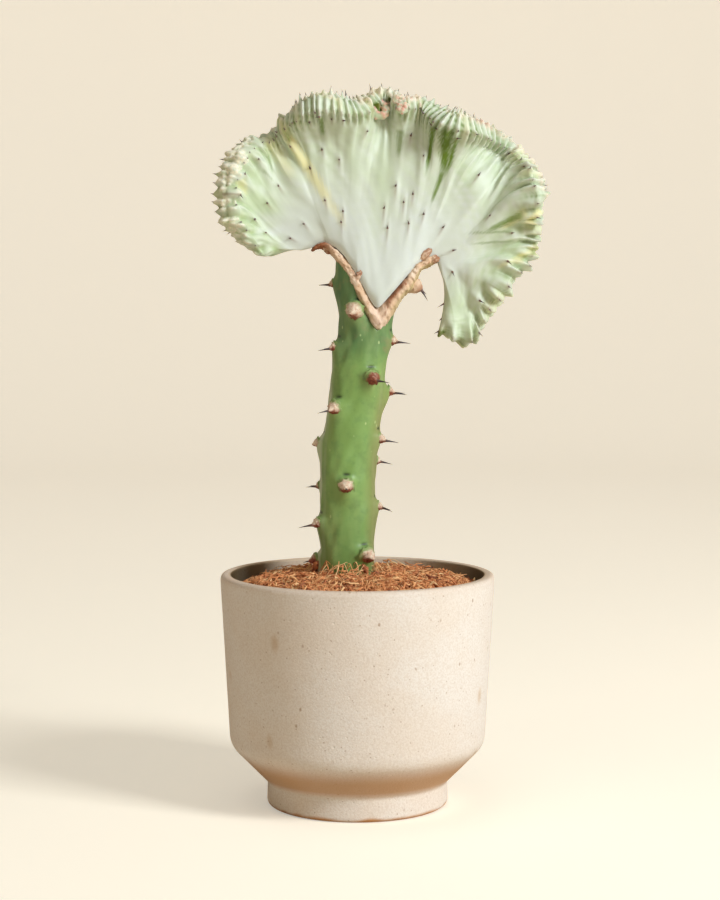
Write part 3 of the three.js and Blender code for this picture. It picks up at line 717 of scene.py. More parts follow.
def stem_skin(green):
    """Waxy green skin: lighter in the middle, bluish with painted shade at the left, a painted pale
    reflection along its left rim, dull at the right, brown scuffs near the top, pale flecks and corners, dark
    leaf scars."""
    look = Look("stem_skin")
    streak = look.noise(60, 4, 0.6, (1, 1, 0.25))
    mottle = look.noise(260, 3)
    tone = look.blend(look.attribute("height").ramp(0.1, 0.75), green, rgb(80, 122, 74))
    tone = look.blend(look.attribute("low") * 0.6, tone, rgb(98, 140, 74))
    tone = look.blend(streak.ramp(0.42, 0.68) * 0.5, tone, rgb(158, 180, 112))
    tone = look.blend(mottle.ramp(0.45, 0.72) * 0.34, tone, rgb(98, 136, 76))
    tone = look.blend(look.noise(75, 4, 0.65).ramp(0.5, 0.68) * 0.32, tone, rgb(84, 112, 60))
    tone = look.blend(look.attribute("shade_side") * 0.2, tone, rgb(84, 112, 96))
    scuff = (look.attribute("height") * 2.0).clamped() * look.noise(110, 4, 0.6).ramp(0.54, 0.68)
    tone = look.blend(scuff * 0.35, tone, rgb(152, 130, 92))
    rim = (look.attribute("corner") * look.noise(30, 3).ramp(0.3, 0.6)).clamped()
    tone = look.blend(rim * 0.3, tone, rgb(170, 186, 148))
    tone = look.blend(look.attribute("dull") * (0.35 + streak * 0.6), tone, rgb(138, 134, 80))
    # Painted pale reflection along the stem's left rim
    tone = look.blend((look.attribute("rim") * (0.35 + streak * 0.65)).clamped(), tone, rgb(206, 214, 190))
    flecks = look.cells(260, 1.0, (1, 1, 0.6)).ramp(0.16, 0.08) * look.noise(70, 1).ramp(0.5, 0.58)
    tone = look.blend(flecks * 0.7, tone, rgb(196, 214, 150))
    tone = look.blend(look.attribute("swell") * 0.55, tone, rgb(156, 178, 108))
    tone = look.blend(look.attribute("scar"), tone, rgb(44, 58, 40))
    normal = look.bump(look.noise(420, 3), 0.12, 0.0005)
    return look.finish(Base_Color=tone, Roughness=0.4 + mottle * 0.1, Normal=normal)


def nub_skin():
    """A tubercle's dry tip: green foot, cream or pinkish white above, red-brown below."""
    look = Look("nub_skin")
    mottle = look.noise(900, 3)
    rust = look.attribute("rust")
    top = look.blend(mottle.ramp(0.35, 0.7), rgb(224, 208, 184), rgb(202, 160, 134))
    under = look.blend(mottle.ramp(0.35, 0.7), rgb(150, 82, 58), rgb(118, 58, 42))
    tone = look.blend(rust, top, under)
    tone = look.blend(look.attribute("foot"), tone, rgb(134, 158, 92))
    return look.finish(Base_Color=tone, Roughness=0.7, Normal=look.bump(mottle, 0.5, 0.0005))


def spine_horn():
    """Horny spines: dark purple-brown, a little paler and redder at the foot."""
    look = Look("spine_horn")
    tone = look.blend(look.attribute("tip").ramp(0.0, 0.45), rgb(132, 96, 80), rgb(66, 56, 62))
    tone = look.blend(look.attribute("grey"), tone, rgb(158, 152, 148))
    return look.finish(Base_Color=tone, Roughness=0.5)


def corky_scar():
    """Dry scar tissue: tan with cream and pink parts, brown cracks along it, painted shade along the inner
    side of the right arm, red-brown ends.
    """
    look = Look("corky_scar")
    cloud = look.noise(120, 4)
    fibre = look.noise(420, 4, 0.6, (1, 1, 0.5))
    tone = look.blend(cloud.ramp(0.35, 0.7), rgb(216, 182, 148), rgb(233, 210, 186))
    tone = look.blend(fibre.ramp(0.52, 0.7) * 0.5, tone, rgb(176, 118, 78))
    tone = look.blend(look.attribute("pale") * 0.6, tone, rgb(242, 214, 194))
    # Brown cracks, and painted shade along the inner side of the right arm
    tone = look.blend(look.attribute("crack"), tone, rgb(150, 88, 52))
    tone = look.blend(look.attribute("moss") * 0.55, tone, rgb(172, 160, 98))
    tone = look.blend(look.attribute("rust"), tone, rgb(152, 94, 60))
    surface = look.bump(fibre, 0.5, 0.0008, look.bump(cloud, 0.6, 0.0015))
    return look.finish(Base_Color=tone, Roughness=0.8, Normal=surface)


def crest_skin(pale):
    """Pale crest skin: white at the wedge, pale green beyond, green in the valleys, deep green, also as
    painted shade in the hollows and inside the whorls, yellow and pink parts."""
    look = Look("crest_skin")
    cloud = look.noise(38, 4)
    fine = look.noise(330, 3)
    tone = look.blend(look.attribute("white"), pale, rgb(216, 223, 216))
    tone = look.blend(cloud.ramp(0.45, 0.7) * 0.35, tone, rgb(200, 208, 186))
    green = (look.attribute("green") * (0.65 + cloud * 0.7)).clamped()
    tone = look.blend(green, tone, rgb(182, 202, 152))
    tone = look.blend((look.attribute("yellow") * (0.6 + cloud * 0.4)).clamped(), tone, rgb(234, 228, 168))
    # Deep green: the crest's own stripes and gaps, and painted shade in the hollows and inside the whorls
    tone = look.blend((look.attribute("deep") * (0.75 + fine * 0.5)).clamped(), tone, rgb(100, 128, 26))
    crumb = look.noise(700, 2)
    tone = look.blend(look.attribute("bead") * crumb.ramp(0.3, 0.6), tone, rgb(240, 236, 214))
    tone = look.blend((look.attribute("pink") * (0.5 + crumb * 0.8)).clamped(), tone, rgb(222, 168, 148))
    tone = look.blend(look.attribute("bead") * crumb.ramp(0.6, 0.72) * 0.3, tone, rgb(196, 180, 112))
    tone = look.blend(look.attribute("rust"), tone, rgb(128, 88, 60))
    normal = look.bump(fine, 0.1, 0.0005)
    return look.finish(
        Base_Color=tone,
        Roughness=0.42 + cloud * 0.12,
        Normal=normal,
        Subsurface_Weight=0.4,
        Subsurface_Radius=(1.0, 1.0, 0.8),
        Subsurface_Scale=0.004,
    )


def backdrop_paint():
    """Plain warm cream paint, lit up a little more than it lights the plant."""
    look = Look("cream_paint")
    tone = look.blend(look.noise(3, 2) * 0.3, rgb(238, 226, 206), rgb(232, 218, 198))
    seen = look.node("ShaderNodeLightPath", {}, {}, "Is Camera Ray")
    glow = look.blend(seen, (0.0, 0.0, 0.0), (0.36, 0.37, 0.34))
    return look.finish(Base_Color=tone, Roughness=0.9, Emission_Color=glow, Emission_Strength=1.0)


# Pot


def rounded(corners, steps=12, longest=2.4):
    """A profile whose corners are rounded: each corner (r, z, reach) becomes a parabola that starts and ends
    at that reach along its two sides, and straight runs are split into steps of at most the longest."""
    line = np.array([corner[:2] for corner in corners], float)
    reach = np.array([corner[2] for corner in corners], float)[:, None]
    back = unit(line - np.roll(line, 1, 0))
    ahead = unit(np.roll(line, -1, 0) - line)
    t = np.linspace(0, 1, steps)[:, None, None]
    low, high = line - back * reach, line + ahead * reach
    bends = (1 - t) ** 2 * low + 2 * t * (1 - t) * line + t**2 * high
    path = np.concatenate([line[:1], bends[:, 1:-1].transpose(1, 0, 2).reshape(-1, 2), line[-1:]])
    run = np.concatenate([[0], np.cumsum(np.linalg.norm(np.diff(path, axis=0), axis=1))])
    places = np.union1d(run, np.arange(0, run[-1], longest))
    return np.stack([np.interp(places, run, path[:, k]) for k in range(2)], 1)


class CORAL_OT_pot(bpy.types.Operator):
    """Turn the footed stoneware pot"""

    bl_idname = "coral.pot"
    bl_label = "Pot"

    def execute(self, context):
        """Surface of (turn, way along the profile): the profile turned round Z, its radius uneven by a
        tenth of a millimetre. It runs from under the foot over the lip to the middle of the floor inside."""
        inner_rim = RIM_RADIUS - WALL
        corners = [
            (0, 0, 0),
            (FOOT[0], 0, 2.6),
            (FOOT[0] - 0.3, FOOT[1], 1.2),
            (SHOULDER[0] - 0.1, SHOULDER[1], 4.2),
            (RIM_RADIUS - 0.1, POT_HEIGHT, 3.4),
            (inner_rim, POT_HEIGHT - 0.7, 0.9),
            (SHOULDER[0] - WALL, SHOULDER[1] + 6, 8),
            (FOOT[0] - 2, POT_FLOOR, 6),
            (0, POT_FLOOR, 0),
        ]
        profile = rounded(corners)
        sides = 280
        turn = turns(sides)[:, None]
        ring = profile[1:-1]
        radius, z = ring[:, 0], ring[:, 1]
        uneven = 0.1 * waves(SEED, np.cos(turn), np.sin(turn), z / 40 + 0 * turn)
        radius = radius - np.abs(uneven) * smooth_step(2, 8, z)
        points = np.stack([radius * np.cos(turn), radius * np.sin(turn), z + 0 * turn], -1)
        rows = len(ring)
        vertices = np.concatenate([points.reshape(-1, 3), [[0, 0, 0], [0, 0, POT_FLOOR]]])
        quads = grid_faces(sides, rows, wrap_columns=True)
        triangles = pole_fans(sides, rows)
        lip = np.argmax(ring[:, 1])
        is_inside = smooth_step(lip + 2, lip + 8, np.arange(rows))
        # Painted warm shade on the cone under the shoulder
        cone_painted_shade = smooth_step(FOOT[1] - 1, FOOT[1] + 4, z) * (1 - smooth_step(19, 30.5, z)) * (1 - is_inside)
        on_lip = hump(np.arange(rows), lip, 8) * (z > POT_HEIGHT - 5)
        edge_noise = 0.5 * waves(SEED + 1, np.cos(turn) * 2, np.sin(turn) * 2)
        bare = (1 - smooth_step(0.4, 2.4, z + edge_noise)) * (1 - is_inside)
        attributes = {
            # inside: the inner wall, with painted shade that grows towards its left and right
            "inside": np.append((is_inside * (0.05 + 0.95 * np.abs(np.cos(turn)) ** 2)).ravel(), [0, 1]),
            "under": np.append((cone_painted_shade + 0 * turn).ravel(), [0, 0]),
            "bare": np.append(bare.ravel(), [1, 0]),
            "lip": np.append((on_lip + 0 * turn).ravel(), [0, 0]),
        }
        clay = stoneware(tuple(context.scene.coral_look.clay))
        make_piece("pot_turned", vertices, quads, triangles, clay, ["pot"], attributes)
        return {"FINISHED"}


# Coir and potting mix


def coir_height(radius):
    """Height of the mound at a radius: highest in the middle and steepest at the wall."""
    share = np.clip(radius / COIR_REACH, 0, 1)
    return COIR_WALL + COIR_RISE * (1 - share**COIR_POWER)


def coir_lumps(x, y):
    """Lumps of the mound in millimetres."""
    return 0.9 * waves(SEED + 2, x / 16, y / 16) + 0.6 * waves(SEED + 3, x / 6, y / 6)


class CORAL_OT_coir(bpy.types.Operator):
    """Heap the coir mound with its shreds and threads"""

    bl_idname = "coral.coir"
    bl_label = "Coir"

    def execute(self, context):
        """Shreds and threads are short curved tubes on the bed: a middle, a heading, a sideways bend and a
        lift. The potting mix keeps its solid and gets a material of its own."""
        settings = context.scene.coral_look
        draw = np.random.default_rng(SEED)
        coir = dry_coir()
        self.bed(coir)
        self.loose(draw, coir, "coir_shreds", settings.coir_shreds, (2.0, 7.0), (0.22, 0.6), 4, 4)
        self.loose(draw, coir, "coir_threads", settings.coir_threads, (6, 17), (0.14, 0.26), 7, 3)
        self.straws(draw, coir)
        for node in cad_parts:
            if node == "potting_mix":
                mix = bpy.data.objects[node]
                mix.data.materials.clear()
                mix.data.materials.append(damp_mix())
        return {"FINISHED"}

    def bed(self, coir):
        """Surface of (turn, radius) at the mound's height plus lumps, with a flat underside."""
        sides, rings = 200, 90
        turn = turns(sides)[:, None]
        out = np.linspace(COIR_REACH - 0.3, 1.0, rings)[None]
        x, y = out * np.cos(turn), out * np.sin(turn)
        z = coir_height(out) - 1.2 + coir_lumps(x, y) + 0.35 * waves(SEED + 4, x / 1.9, y / 1.9)
        low = np.stack([x[:, 0], y[:, 0], np.full(sides, COIR_UNDERSIDE)], 1)[:, None]
        points = np.concatenate([low, np.stack([x, y, z], -1)], 1)
        rows = rings + 1
        top = [0, 0, float(z[:, -1].mean())]
        vertices = np.concatenate([points.reshape(-1, 3), [[0, 0, COIR_UNDERSIDE], top]])
        bed_tone = 0.18 + 0.12 * waves(SEED + 5, x / 3, y / 3)
        tone = np.append(np.concatenate([0 * x[:, :1], bed_tone], 1).ravel(), [0, 0.2])
        quads = grid_faces(sides, rows, wrap_columns=True)
        triangles = pole_fans(sides, rows)
        make_piece("coir_bed", vertices, quads, triangles, coir, ["coir_mulch"], {"tone": tone})

    def loose(self, draw, coir, name, count, length, thickness, steps, sides):
        """Tubes whose path is middle + heading * length * t + sideways * bend * t * t, on the mound."""
        out = np.sqrt(draw.uniform(0.04, 1, count)) * (COIR_REACH - 1.2)
        turn = draw.uniform(0, 2 * np.pi, count)
        middle = np.stack([out * np.cos(turn), out * np.sin(turn)], 1)[:, None]
        heading = draw.uniform(0, 2 * np.pi, count)
        along = np.stack([np.cos(heading), np.sin(heading)], 1)[:, None]
        across = np.stack([-np.sin(heading), np.cos(heading)], 1)[:, None]
        t = np.linspace(-0.5, 0.5, steps)[None, :, None]
        size = draw.uniform(*length, (count, 1, 1))
        bend = draw.normal(0, 0.9, (count, 1, 1)) * size
        level = middle + along * size * t + across * bend * (t**2 - 0.1)
        level = level + across * draw.normal(0, 0.25, (count, 1, 1)) * size * t**3 * 2
        reach = np.linalg.norm(level, axis=-1, keepdims=True)
        level = level * np.minimum(1, (COIR_REACH - 0.6) / reach)
        x, y = level[..., 0], level[..., 1]
        tilt = draw.normal(0, 0.16, (count, 1)) * size[..., 0] * t[..., 0]
        lift = draw.gamma(1.6, 0.42, (count, 1)) - 0.3
        z = coir_height(np.hypot(x, y)) + coir_lumps(x, y) - 0.8 + lift + tilt
        thick = draw.uniform(*thickness, (count, 1)) * (1 - 1.5 * np.abs(t[..., 0]) ** 2.5)
        vertices, quads, triangles = tubes(np.stack([x, y, z], -1), thick, sides)
        cloud = 0.12 * waves(SEED + 6, middle[:, 0, 0] / 9, middle[:, 0, 1] / 9)
        each = np.clip(draw.beta(2.2, 2.0, count) + cloud, 0, 1)
        tone = np.repeat(each, steps * sides)
        make_piece(name, vertices, quads, triangles, coir, ["coir_mulch"], {"tone": tone})

    def straws(self, draw, coir):
        """Pale straws that lean on the stem's foot: arcs that start low on the mound and end on the skin.
        Dried leaf bits: lumps at the stem's left and under its lowest tubercle."""
        count, steps, sides = 46, 8, 4
        t = np.linspace(0, 1, steps)[None]
        angle = np.radians(draw.normal(18, 55, (count, 1)) + draw.normal(0, 26, (count, 1)) * (t - 0.5))
        foot = STEM_RADIUS + draw.uniform(0.5, 7, (count, 1))
        out = foot + (STEM_RADIUS + draw.uniform(0.2, 0.9, (count, 1)) - foot) * t**0.7
        x, y = STEM_X + out * np.sin(angle), -out * np.cos(angle)
        rise = draw.uniform(1.0, 7.0, (count, 1)) * np.sin(t * np.pi * draw.uniform(0.4, 0.95, (count, 1)))
        z = coir_height(np.hypot(x, y)) + coir_lumps(x, y) - 0.4 + rise
        thick = draw.uniform(0.14, 0.32, (count, 1)) * (1 - 0.8 * np.abs(t - 0.5) ** 2 * 3)
        vertices, quads, triangles = tubes(np.stack([x, y, z], -1), thick, sides)
        tone = np.repeat(draw.uniform(0.35, 1.0, count), steps * sides)
        make_piece("coir_straws", vertices, quads, triangles, coir, ["coir_mulch"], {"tone": tone})
        for name, middle, way, length, width in DRIED_BITS:
            vertices, quads, triangles = blob(middle, way, length, width, sides=14, steps=12, uneven=0.3)
            tone = 0.22 + 0.25 * waves(SEED + 17, *(vertices.T / 2))
            make_piece(name, vertices, quads, triangles, coir, ["coir_mulch"], {"tone": tone})


# Rootstock


def stock_skin(z, degrees):
    """A place on the stem's plain skin and the way out of it, by height and angle from the front."""
    x, half_width, half_depth = np.moveaxis(stations_at(STOCK, z), -1, 0)
    turn = np.radians(degrees)
    out = np.stack([np.sin(turn), -np.cos(turn), 0 * turn], -1)
    foot = np.stack([x + half_width * np.sin(turn), -half_depth * np.cos(turn), z], -1)
    return foot, out


def swelling(z, degrees, half_width):
    """Bump of the skin under each tubercle in millimetres: a long slope below and a short one above, and the
    dark leaf scar over it, from 0 to 1."""
    bump, scar = 0, 0
    for height, angle, size, *_ in TUBERCLES:
        aside = (degrees - angle + 180) % 360 - 180
        across = np.radians(aside) * half_width
        up = z - height
        reach = np.where(up < 0, 7.5, 2.9)
        bump = bump + 2.6 * size * np.exp(-((up / reach) ** 2) - (across / 4.0) ** 2)
        scar = scar + np.exp(-(((up - 4.4) / 0.6) ** 2) - (np.abs(across) / 1.7) ** 3)
    return bump, np.clip(scar, 0, 1)


class CORAL_OT_stem(bpy.types.Operator):
    """Grow the green rootstock with its tubercles and spines"""

    bl_idname = "coral.stem"
    bl_label = "Rootstock"

    def execute(self, context):
        """The skin with its V-cut, then the tubercles with their spines."""
        self.skin(context)
        self.tubercles(context)
        return {"FINISHED"}

    def skin(self, context):
        """Surface of (angle, height) up to the V-cut: the stations' ovals with three soft corners, swellings
        and leaf scars. The cut's floor joins each front column to the back one behind it."""
        columns, rows = 240, 300
        degrees = np.arange(columns) * 360 / columns - 90
        heights = np.linspace(200, 262, 600)
        foot, _ = stock_skin(heights[None] + 0 * degrees[:, None], degrees[:, None] + 0 * heights[None])
        cut = np.asarray(STOCK_CUT, float)
        over = heights > np.interp(foot[..., 0], cut[:, 0], cut[:, 1])
        top = heights[np.argmax(over, axis=1)]
        share = np.linspace(0, 1, rows)[None]
        low = STOCK[0][0]
        z = low + (top[:, None] - low) * share
        angle = degrees[:, None] + 0 * z
        foot, out = stock_skin(z, angle)
        half = stations_at(STOCK, z)[..., 1]
        bump, scar = swelling(z, angle, half)
        turn = np.radians(angle)
        corner = -np.cos(3 * turn + 0.35 * np.sin(z / 30))
        keep = smooth_step(0, 3, top[:, None] - z)
        soft = 0.35 * corner + 0.22 * waves(SEED + 7, np.cos(turn), np.sin(turn), z / 28)
        points = foot + out * (soft + bump * keep - 0.55 * scar)[..., None]
        half_count = columns // 2
        i = np.arange(1, half_count - 1)
        end = rows - 1
        across = np.stack([i, i + 1, columns - i - 1, columns - i], 1) * rows
        lid, base = across + end, across[:, ::-1]
        edge = np.array([[0, 1, columns - 1], [half_count - 1, half_count, half_count + 1]]) * rows
        triangles = np.concatenate([edge + end, edge[:, ::-1]])
        quads = np.concatenate([grid_faces(columns, rows, wrap_columns=True), lid, base])
        on_front = smooth_step(-0.1, 0.1, np.cos(turn))
        attributes = {
            "height": smooth_step(196, 236, z),
            "low": 1 - smooth_step(108, 150, z),
            "shade_side": smooth_step(0.55, 1.0, -np.sin(turn)) * (0.6 + 0.4 * smooth_step(180, 240, z)),
            "corner": smooth_step(0.93, 1.0, corner) * smooth_step(222, 196, z),
            # rim: a painted pale reflection along the left edge of the front, below the top
            "rim": smooth_step(0.87, 0.95, -np.sin(turn)) * on_front * smooth_step(215, 190, z),
            "dull": smooth_step(0.55, 0.95, np.sin(turn)) * smooth_step(215, 180, z),
            "swell": np.clip(bump / 3.2, 0, 1) ** 1.5,
            "scar": scar,
        }
        green = stem_skin(tuple(context.scene.coral_look.stem_green))
        make_piece("stem", points, quads, triangles, green, ["rootstock"], attributes)

    def tubercles(self, context):
        """Each nub is a tube along the way out and a little down, widest at its foot; its spines are tapering
        tubes that bend down a little."""
        draw = np.random.default_rng(SEED + 8)
        z, degrees, size, red, low_spine, high_spine = np.array(TUBERCLES, float).T
        foot, out = stock_skin(z, degrees)
        count = len(z)
        axis = unit(out + [0, 0, -0.3])
        steps, sides = 14, 20
        t = np.linspace(0, 1, steps)
        profile = np.interp(t, [0, 0.3, 0.52, 0.72, 0.9, 1], [2.8, 2.3, 1.7, 1.1, 0.6, 0.12])
        size = size[:, None]
        path = foot[:, None] + axis[:, None] * (1.6 * size + (4.2 * t - 0.6)[None] * size)[..., None]
        vertices, quads, triangles = tubes(path, profile[None] * size, sides)
        around = vertices.reshape(count, steps, sides, 3) - path[:, :, None]
        under = -around[..., 2] / np.maximum(np.linalg.norm(around, axis=-1), 1e-6)
        uneven = waves(SEED + 16, *(vertices.T / 3)).reshape(under.shape)
        rust = smooth_step(-0.1, 0.6, under + red[:, None, None] + 0.2 * t[None, :, None] + 0.25 * uneven)
        rough = 1 + 0.2 * waves(SEED + 9, *(vertices.T / 2.4))
        vertices = path[:, :, None] + around * rough.reshape(count, steps, sides, 1)
        marks = {"rust": rust, "foot": (1 - smooth_step(0.12, 0.4, t))[None, :, None] + 0 * rust}
        make_piece("stem_nubs", vertices, quads, triangles, nub_skin(), ["rootstock"], marks)
        pairs = np.repeat(np.arange(count), 2)
        hand = np.tile([-1.0, 1.0], count)
        share = np.stack([low_spine, high_spine], 1).ravel()
        aside = unit(np.cross([0, 0, 1.0], out))[pairs]
        lengths = context.scene.coral_look.spine_length * share
        lean = draw.uniform(0.3, 0.65, 2 * count) * hand
        droop = np.stack([0 * lean, 0 * lean, draw.normal(-0.12, 0.12, len(lean))], 1)
        ways = unit(out[pairs] + aside * lean[:, None] + droop)
        feet = (foot + axis * 4.4 * size)[pairs]
        keep = share > 0
        make_spines("stem_spines", feet[keep], ways[keep], lengths[keep], 0.7, "rootstock", 8)


def make_spines(name, feet, ways, lengths, thickness, node, sides=6, grey=0.0):
    """Many spines as one piece: path foot + way * length * t with a small droop, narrowing to a point."""
    steps = 6
    t = np.linspace(0, 1, steps)[None, :, None]
    lengths = np.asarray(lengths, float)[:, None, None]
    path = feet[:, None] + (ways[:, None] * lengths) * (t * 1.08 - 0.08)
    path = path + np.array([0, 0, -0.06]) * lengths * t**2
    taper = np.interp(t[..., 0], [0, 0.12, 0.5, 0.85, 1], [1.25, 0.85, 0.42, 0.16, 0.05])
    thick = thickness * np.sqrt(lengths[..., 0] / np.maximum(lengths.mean(), 1e-6)) * taper
    vertices, quads, triangles = tubes(path, thick, sides)
    tip = np.repeat(np.tile(t[0, :, 0], len(feet)), sides)
    marks = {"tip": tip, "grey": grey + 0 * tip}
    make_piece(name, vertices, quads, triangles, spine_horn(), [node], marks)


# Scar tissue


class CORAL_OT_callus(bpy.types.Operator):
    """Grow the V of scar tissue where the crest joins the stem"""

    bl_idname = "coral.callus"
    bl_label = "Graft callus"

    def execute(self, context):
        """Surface of (way along the V, turn round its section): each section is a rounded box between the
        outer and inner line, as deep as its station, with fine roughness. Knob and lumps are added."""
        columns, rows = 260, 72
        way = np.linspace(0, 1, columns)
        outer_x, outer_z, inner_x, inner_z, depth = rows_at(CALLUS, way).T[:, :, None]
        turn = turns(rows)[None]
        across = np.sign(np.cos(turn)) * np.abs(np.cos(turn)) ** 0.75
        deep = np.sign(np.sin(turn)) * np.abs(np.sin(turn)) ** 0.6
        end = np.sqrt(np.clip(np.minimum(way, 1 - way) / 0.02, 0.02, 1))[:, None]
        widen = 1.04 * end
        x = (outer_x + inner_x) / 2 - (inner_x - outer_x) / 2 * across * widen
        z = (outer_z + inner_z) / 2 - (inner_z - outer_z) / 2 * across * widen
        y = -(depth + 0.5) * deep * end
        points = np.stack([x, y, z], -1)
        middle = np.stack([(outer_x + inner_x) / 2 + 0 * y, 0 * y, (outer_z + inner_z) / 2 + 0 * y], -1)
        out = unit((points - middle) * [1, 0.35, 1])
        lumps = 0.35 * waves(SEED + 10, x / 7, y / 7, z / 7)
        lumps = lumps + 0.18 * waves(SEED + 11, x / 2.2, y / 2.2, z / 2.2)
        points = points + out * (lumps * end)[..., None]
        quads = grid_faces(columns, rows, wrap_rows=True)
        near = ring_caps([0], rows)[:, ::-1]
        far = ring_caps([(columns - 1) * rows], rows)
        groove = hump(across - 0.1, 0.5 * np.sin(way[:, None] * 17), 0.12)
        crack = groove * smooth_step(0.2, 0.6, waves(SEED + 12, x / 5, z / 5)) * 0.8
        edge = smooth_step(0.8, 0.98, np.abs(across)) * 0.45
        right_arm = smooth_step(0.52, 0.62, way) * smooth_step(0.76, 0.68, way)
        # Painted shade of the gap between the right arm's inner side and the crest, in the cracks' brown
        crack = crack + 0.9 * (smooth_step(0.1, -0.5, across) * right_arm[:, None])
        foot = hump(way, 0.5, 0.05)
        left_end = 1 - smooth_step(0.08, 0.2, way)
        right_end = smooth_step(0.93, 0.985, way)
        attributes = {
            "crack": np.clip(crack + edge * (0.5 + 0.5 * waves(SEED + 13, x / 4, z / 4)), 0, 1),
            "rust": np.clip(np.maximum(left_end, right_end)[:, None] + 0 * x, 0, 1),
            "pale": foot[:, None] + 0 * x,
            "moss": smooth_step(0.2, 0.75, across) * smooth_step(0.54, 0.64, way)[:, None],
        }
        scar = corky_scar()
        triangles = np.concatenate([near, far])
        make_piece("graft_scar", points, quads, triangles, scar, ["graft_callus"], attributes)
        self.knob(scar)
        for name, middle, way, length, width, rust in CALLUS_LUMPS:
            vertices, quads, triangles = blob(middle, way, length, width, sides=32, steps=24, uneven=0.15)
            along = ((vertices - middle) @ unit(np.array(way, float))) / length
            brown = rust * smooth_step(-0.1, 0.8, along + 0.4 * waves(SEED + 37, *(vertices.T / 3)))
            split = 0.5 * smooth_step(0.3, 0.9, waves(SEED + 15, *(vertices.T / 2.5)))
            marks = {"rust": brown, "crack": split}
            make_piece(name, vertices, quads, triangles, scar, ["graft_callus"], marks)
        return {"FINISHED"}

    def knob(self, scar):
        """The dry tubercle on the right arm: a tube along its way out that narrows to a tip, with its two
        spines."""
        x, y, z, degrees = CALLUS_TUBERCLE
        turn = np.radians(degrees)
        axis = unit(np.array([[np.sin(turn), -np.cos(turn) * 0.8, -0.5]]))
        steps, sides = 16, 28
        t = np.linspace(0, 1, steps)
        foot = np.array([[x - 2.6, y, z + 1.2]])
        path = foot[:, None] + axis[:, None] * (6.4 * t)[None, :, None]
        profile = np.interp(t, [0, 0.3, 0.6, 0.85, 1], [3.9, 3.8, 2.9, 1.5, 0.2])
        vertices, quads, triangles = tubes(path, profile[None], sides)
        lump = 1 + 0.1 * waves(SEED + 14, *(vertices.T / 3))
        around = vertices.reshape(1, steps, sides, 3) - path[:, :, None]
        vertices = path[:, :, None] + around * lump.reshape(1, steps, sides, 1)
        rust = smooth_step(0.55, 0.9, t)[None, :, None] * 0.7 + np.zeros((1, steps, sides))
        marks = {"rust": rust, "crack": np.zeros(rust.shape)}
        make_piece("graft_knob", vertices, quads, triangles, scar, ["graft_callus"], marks)
        tip = np.repeat(foot + axis * 5.6, 2, 0)
        ways = unit(np.array([[0.5, -0.35, -0.8], [0.75, 0.1, -0.6]]))
        make_spines("graft_spines", tip, ways, [6.2, 3.4], 0.75, "graft_callus", 8)


# Crest


def evened(values, spread):
    """Values evened out along their first axis by a bell curve of this spread in rows."""
    reach = int(3 * spread)
    weights = np.exp(-0.5 * (np.arange(-reach, reach + 1) / spread) ** 2)
    weights /= weights.sum()
    padded = np.pad(values, [(reach, reach)] + [(0, 0)] * (values.ndim - 1), mode="edge")
    return sum(weight * padded[k : k + len(values)] for k, weight in enumerate(weights))


def camera_pixels(points):
    """Where points in millimetres fall in the 720 x 900 frame."""
    pitch = np.radians(CAMERA_PITCH)
    rel = points - CAMERA_PLACE
    ahead = rel[..., 1] * np.cos(pitch) - rel[..., 2] * np.sin(pitch)
    down = -rel[..., 2] * np.cos(pitch) - rel[..., 1] * np.sin(pitch)
    focal = FRAME[1] * CAMERA_LENS / SENSOR
    return np.stack([FRAME[0] / 2 + focal * rel[..., 0] / ahead, FRAME[1] / 2 + focal * down / ahead], -1)


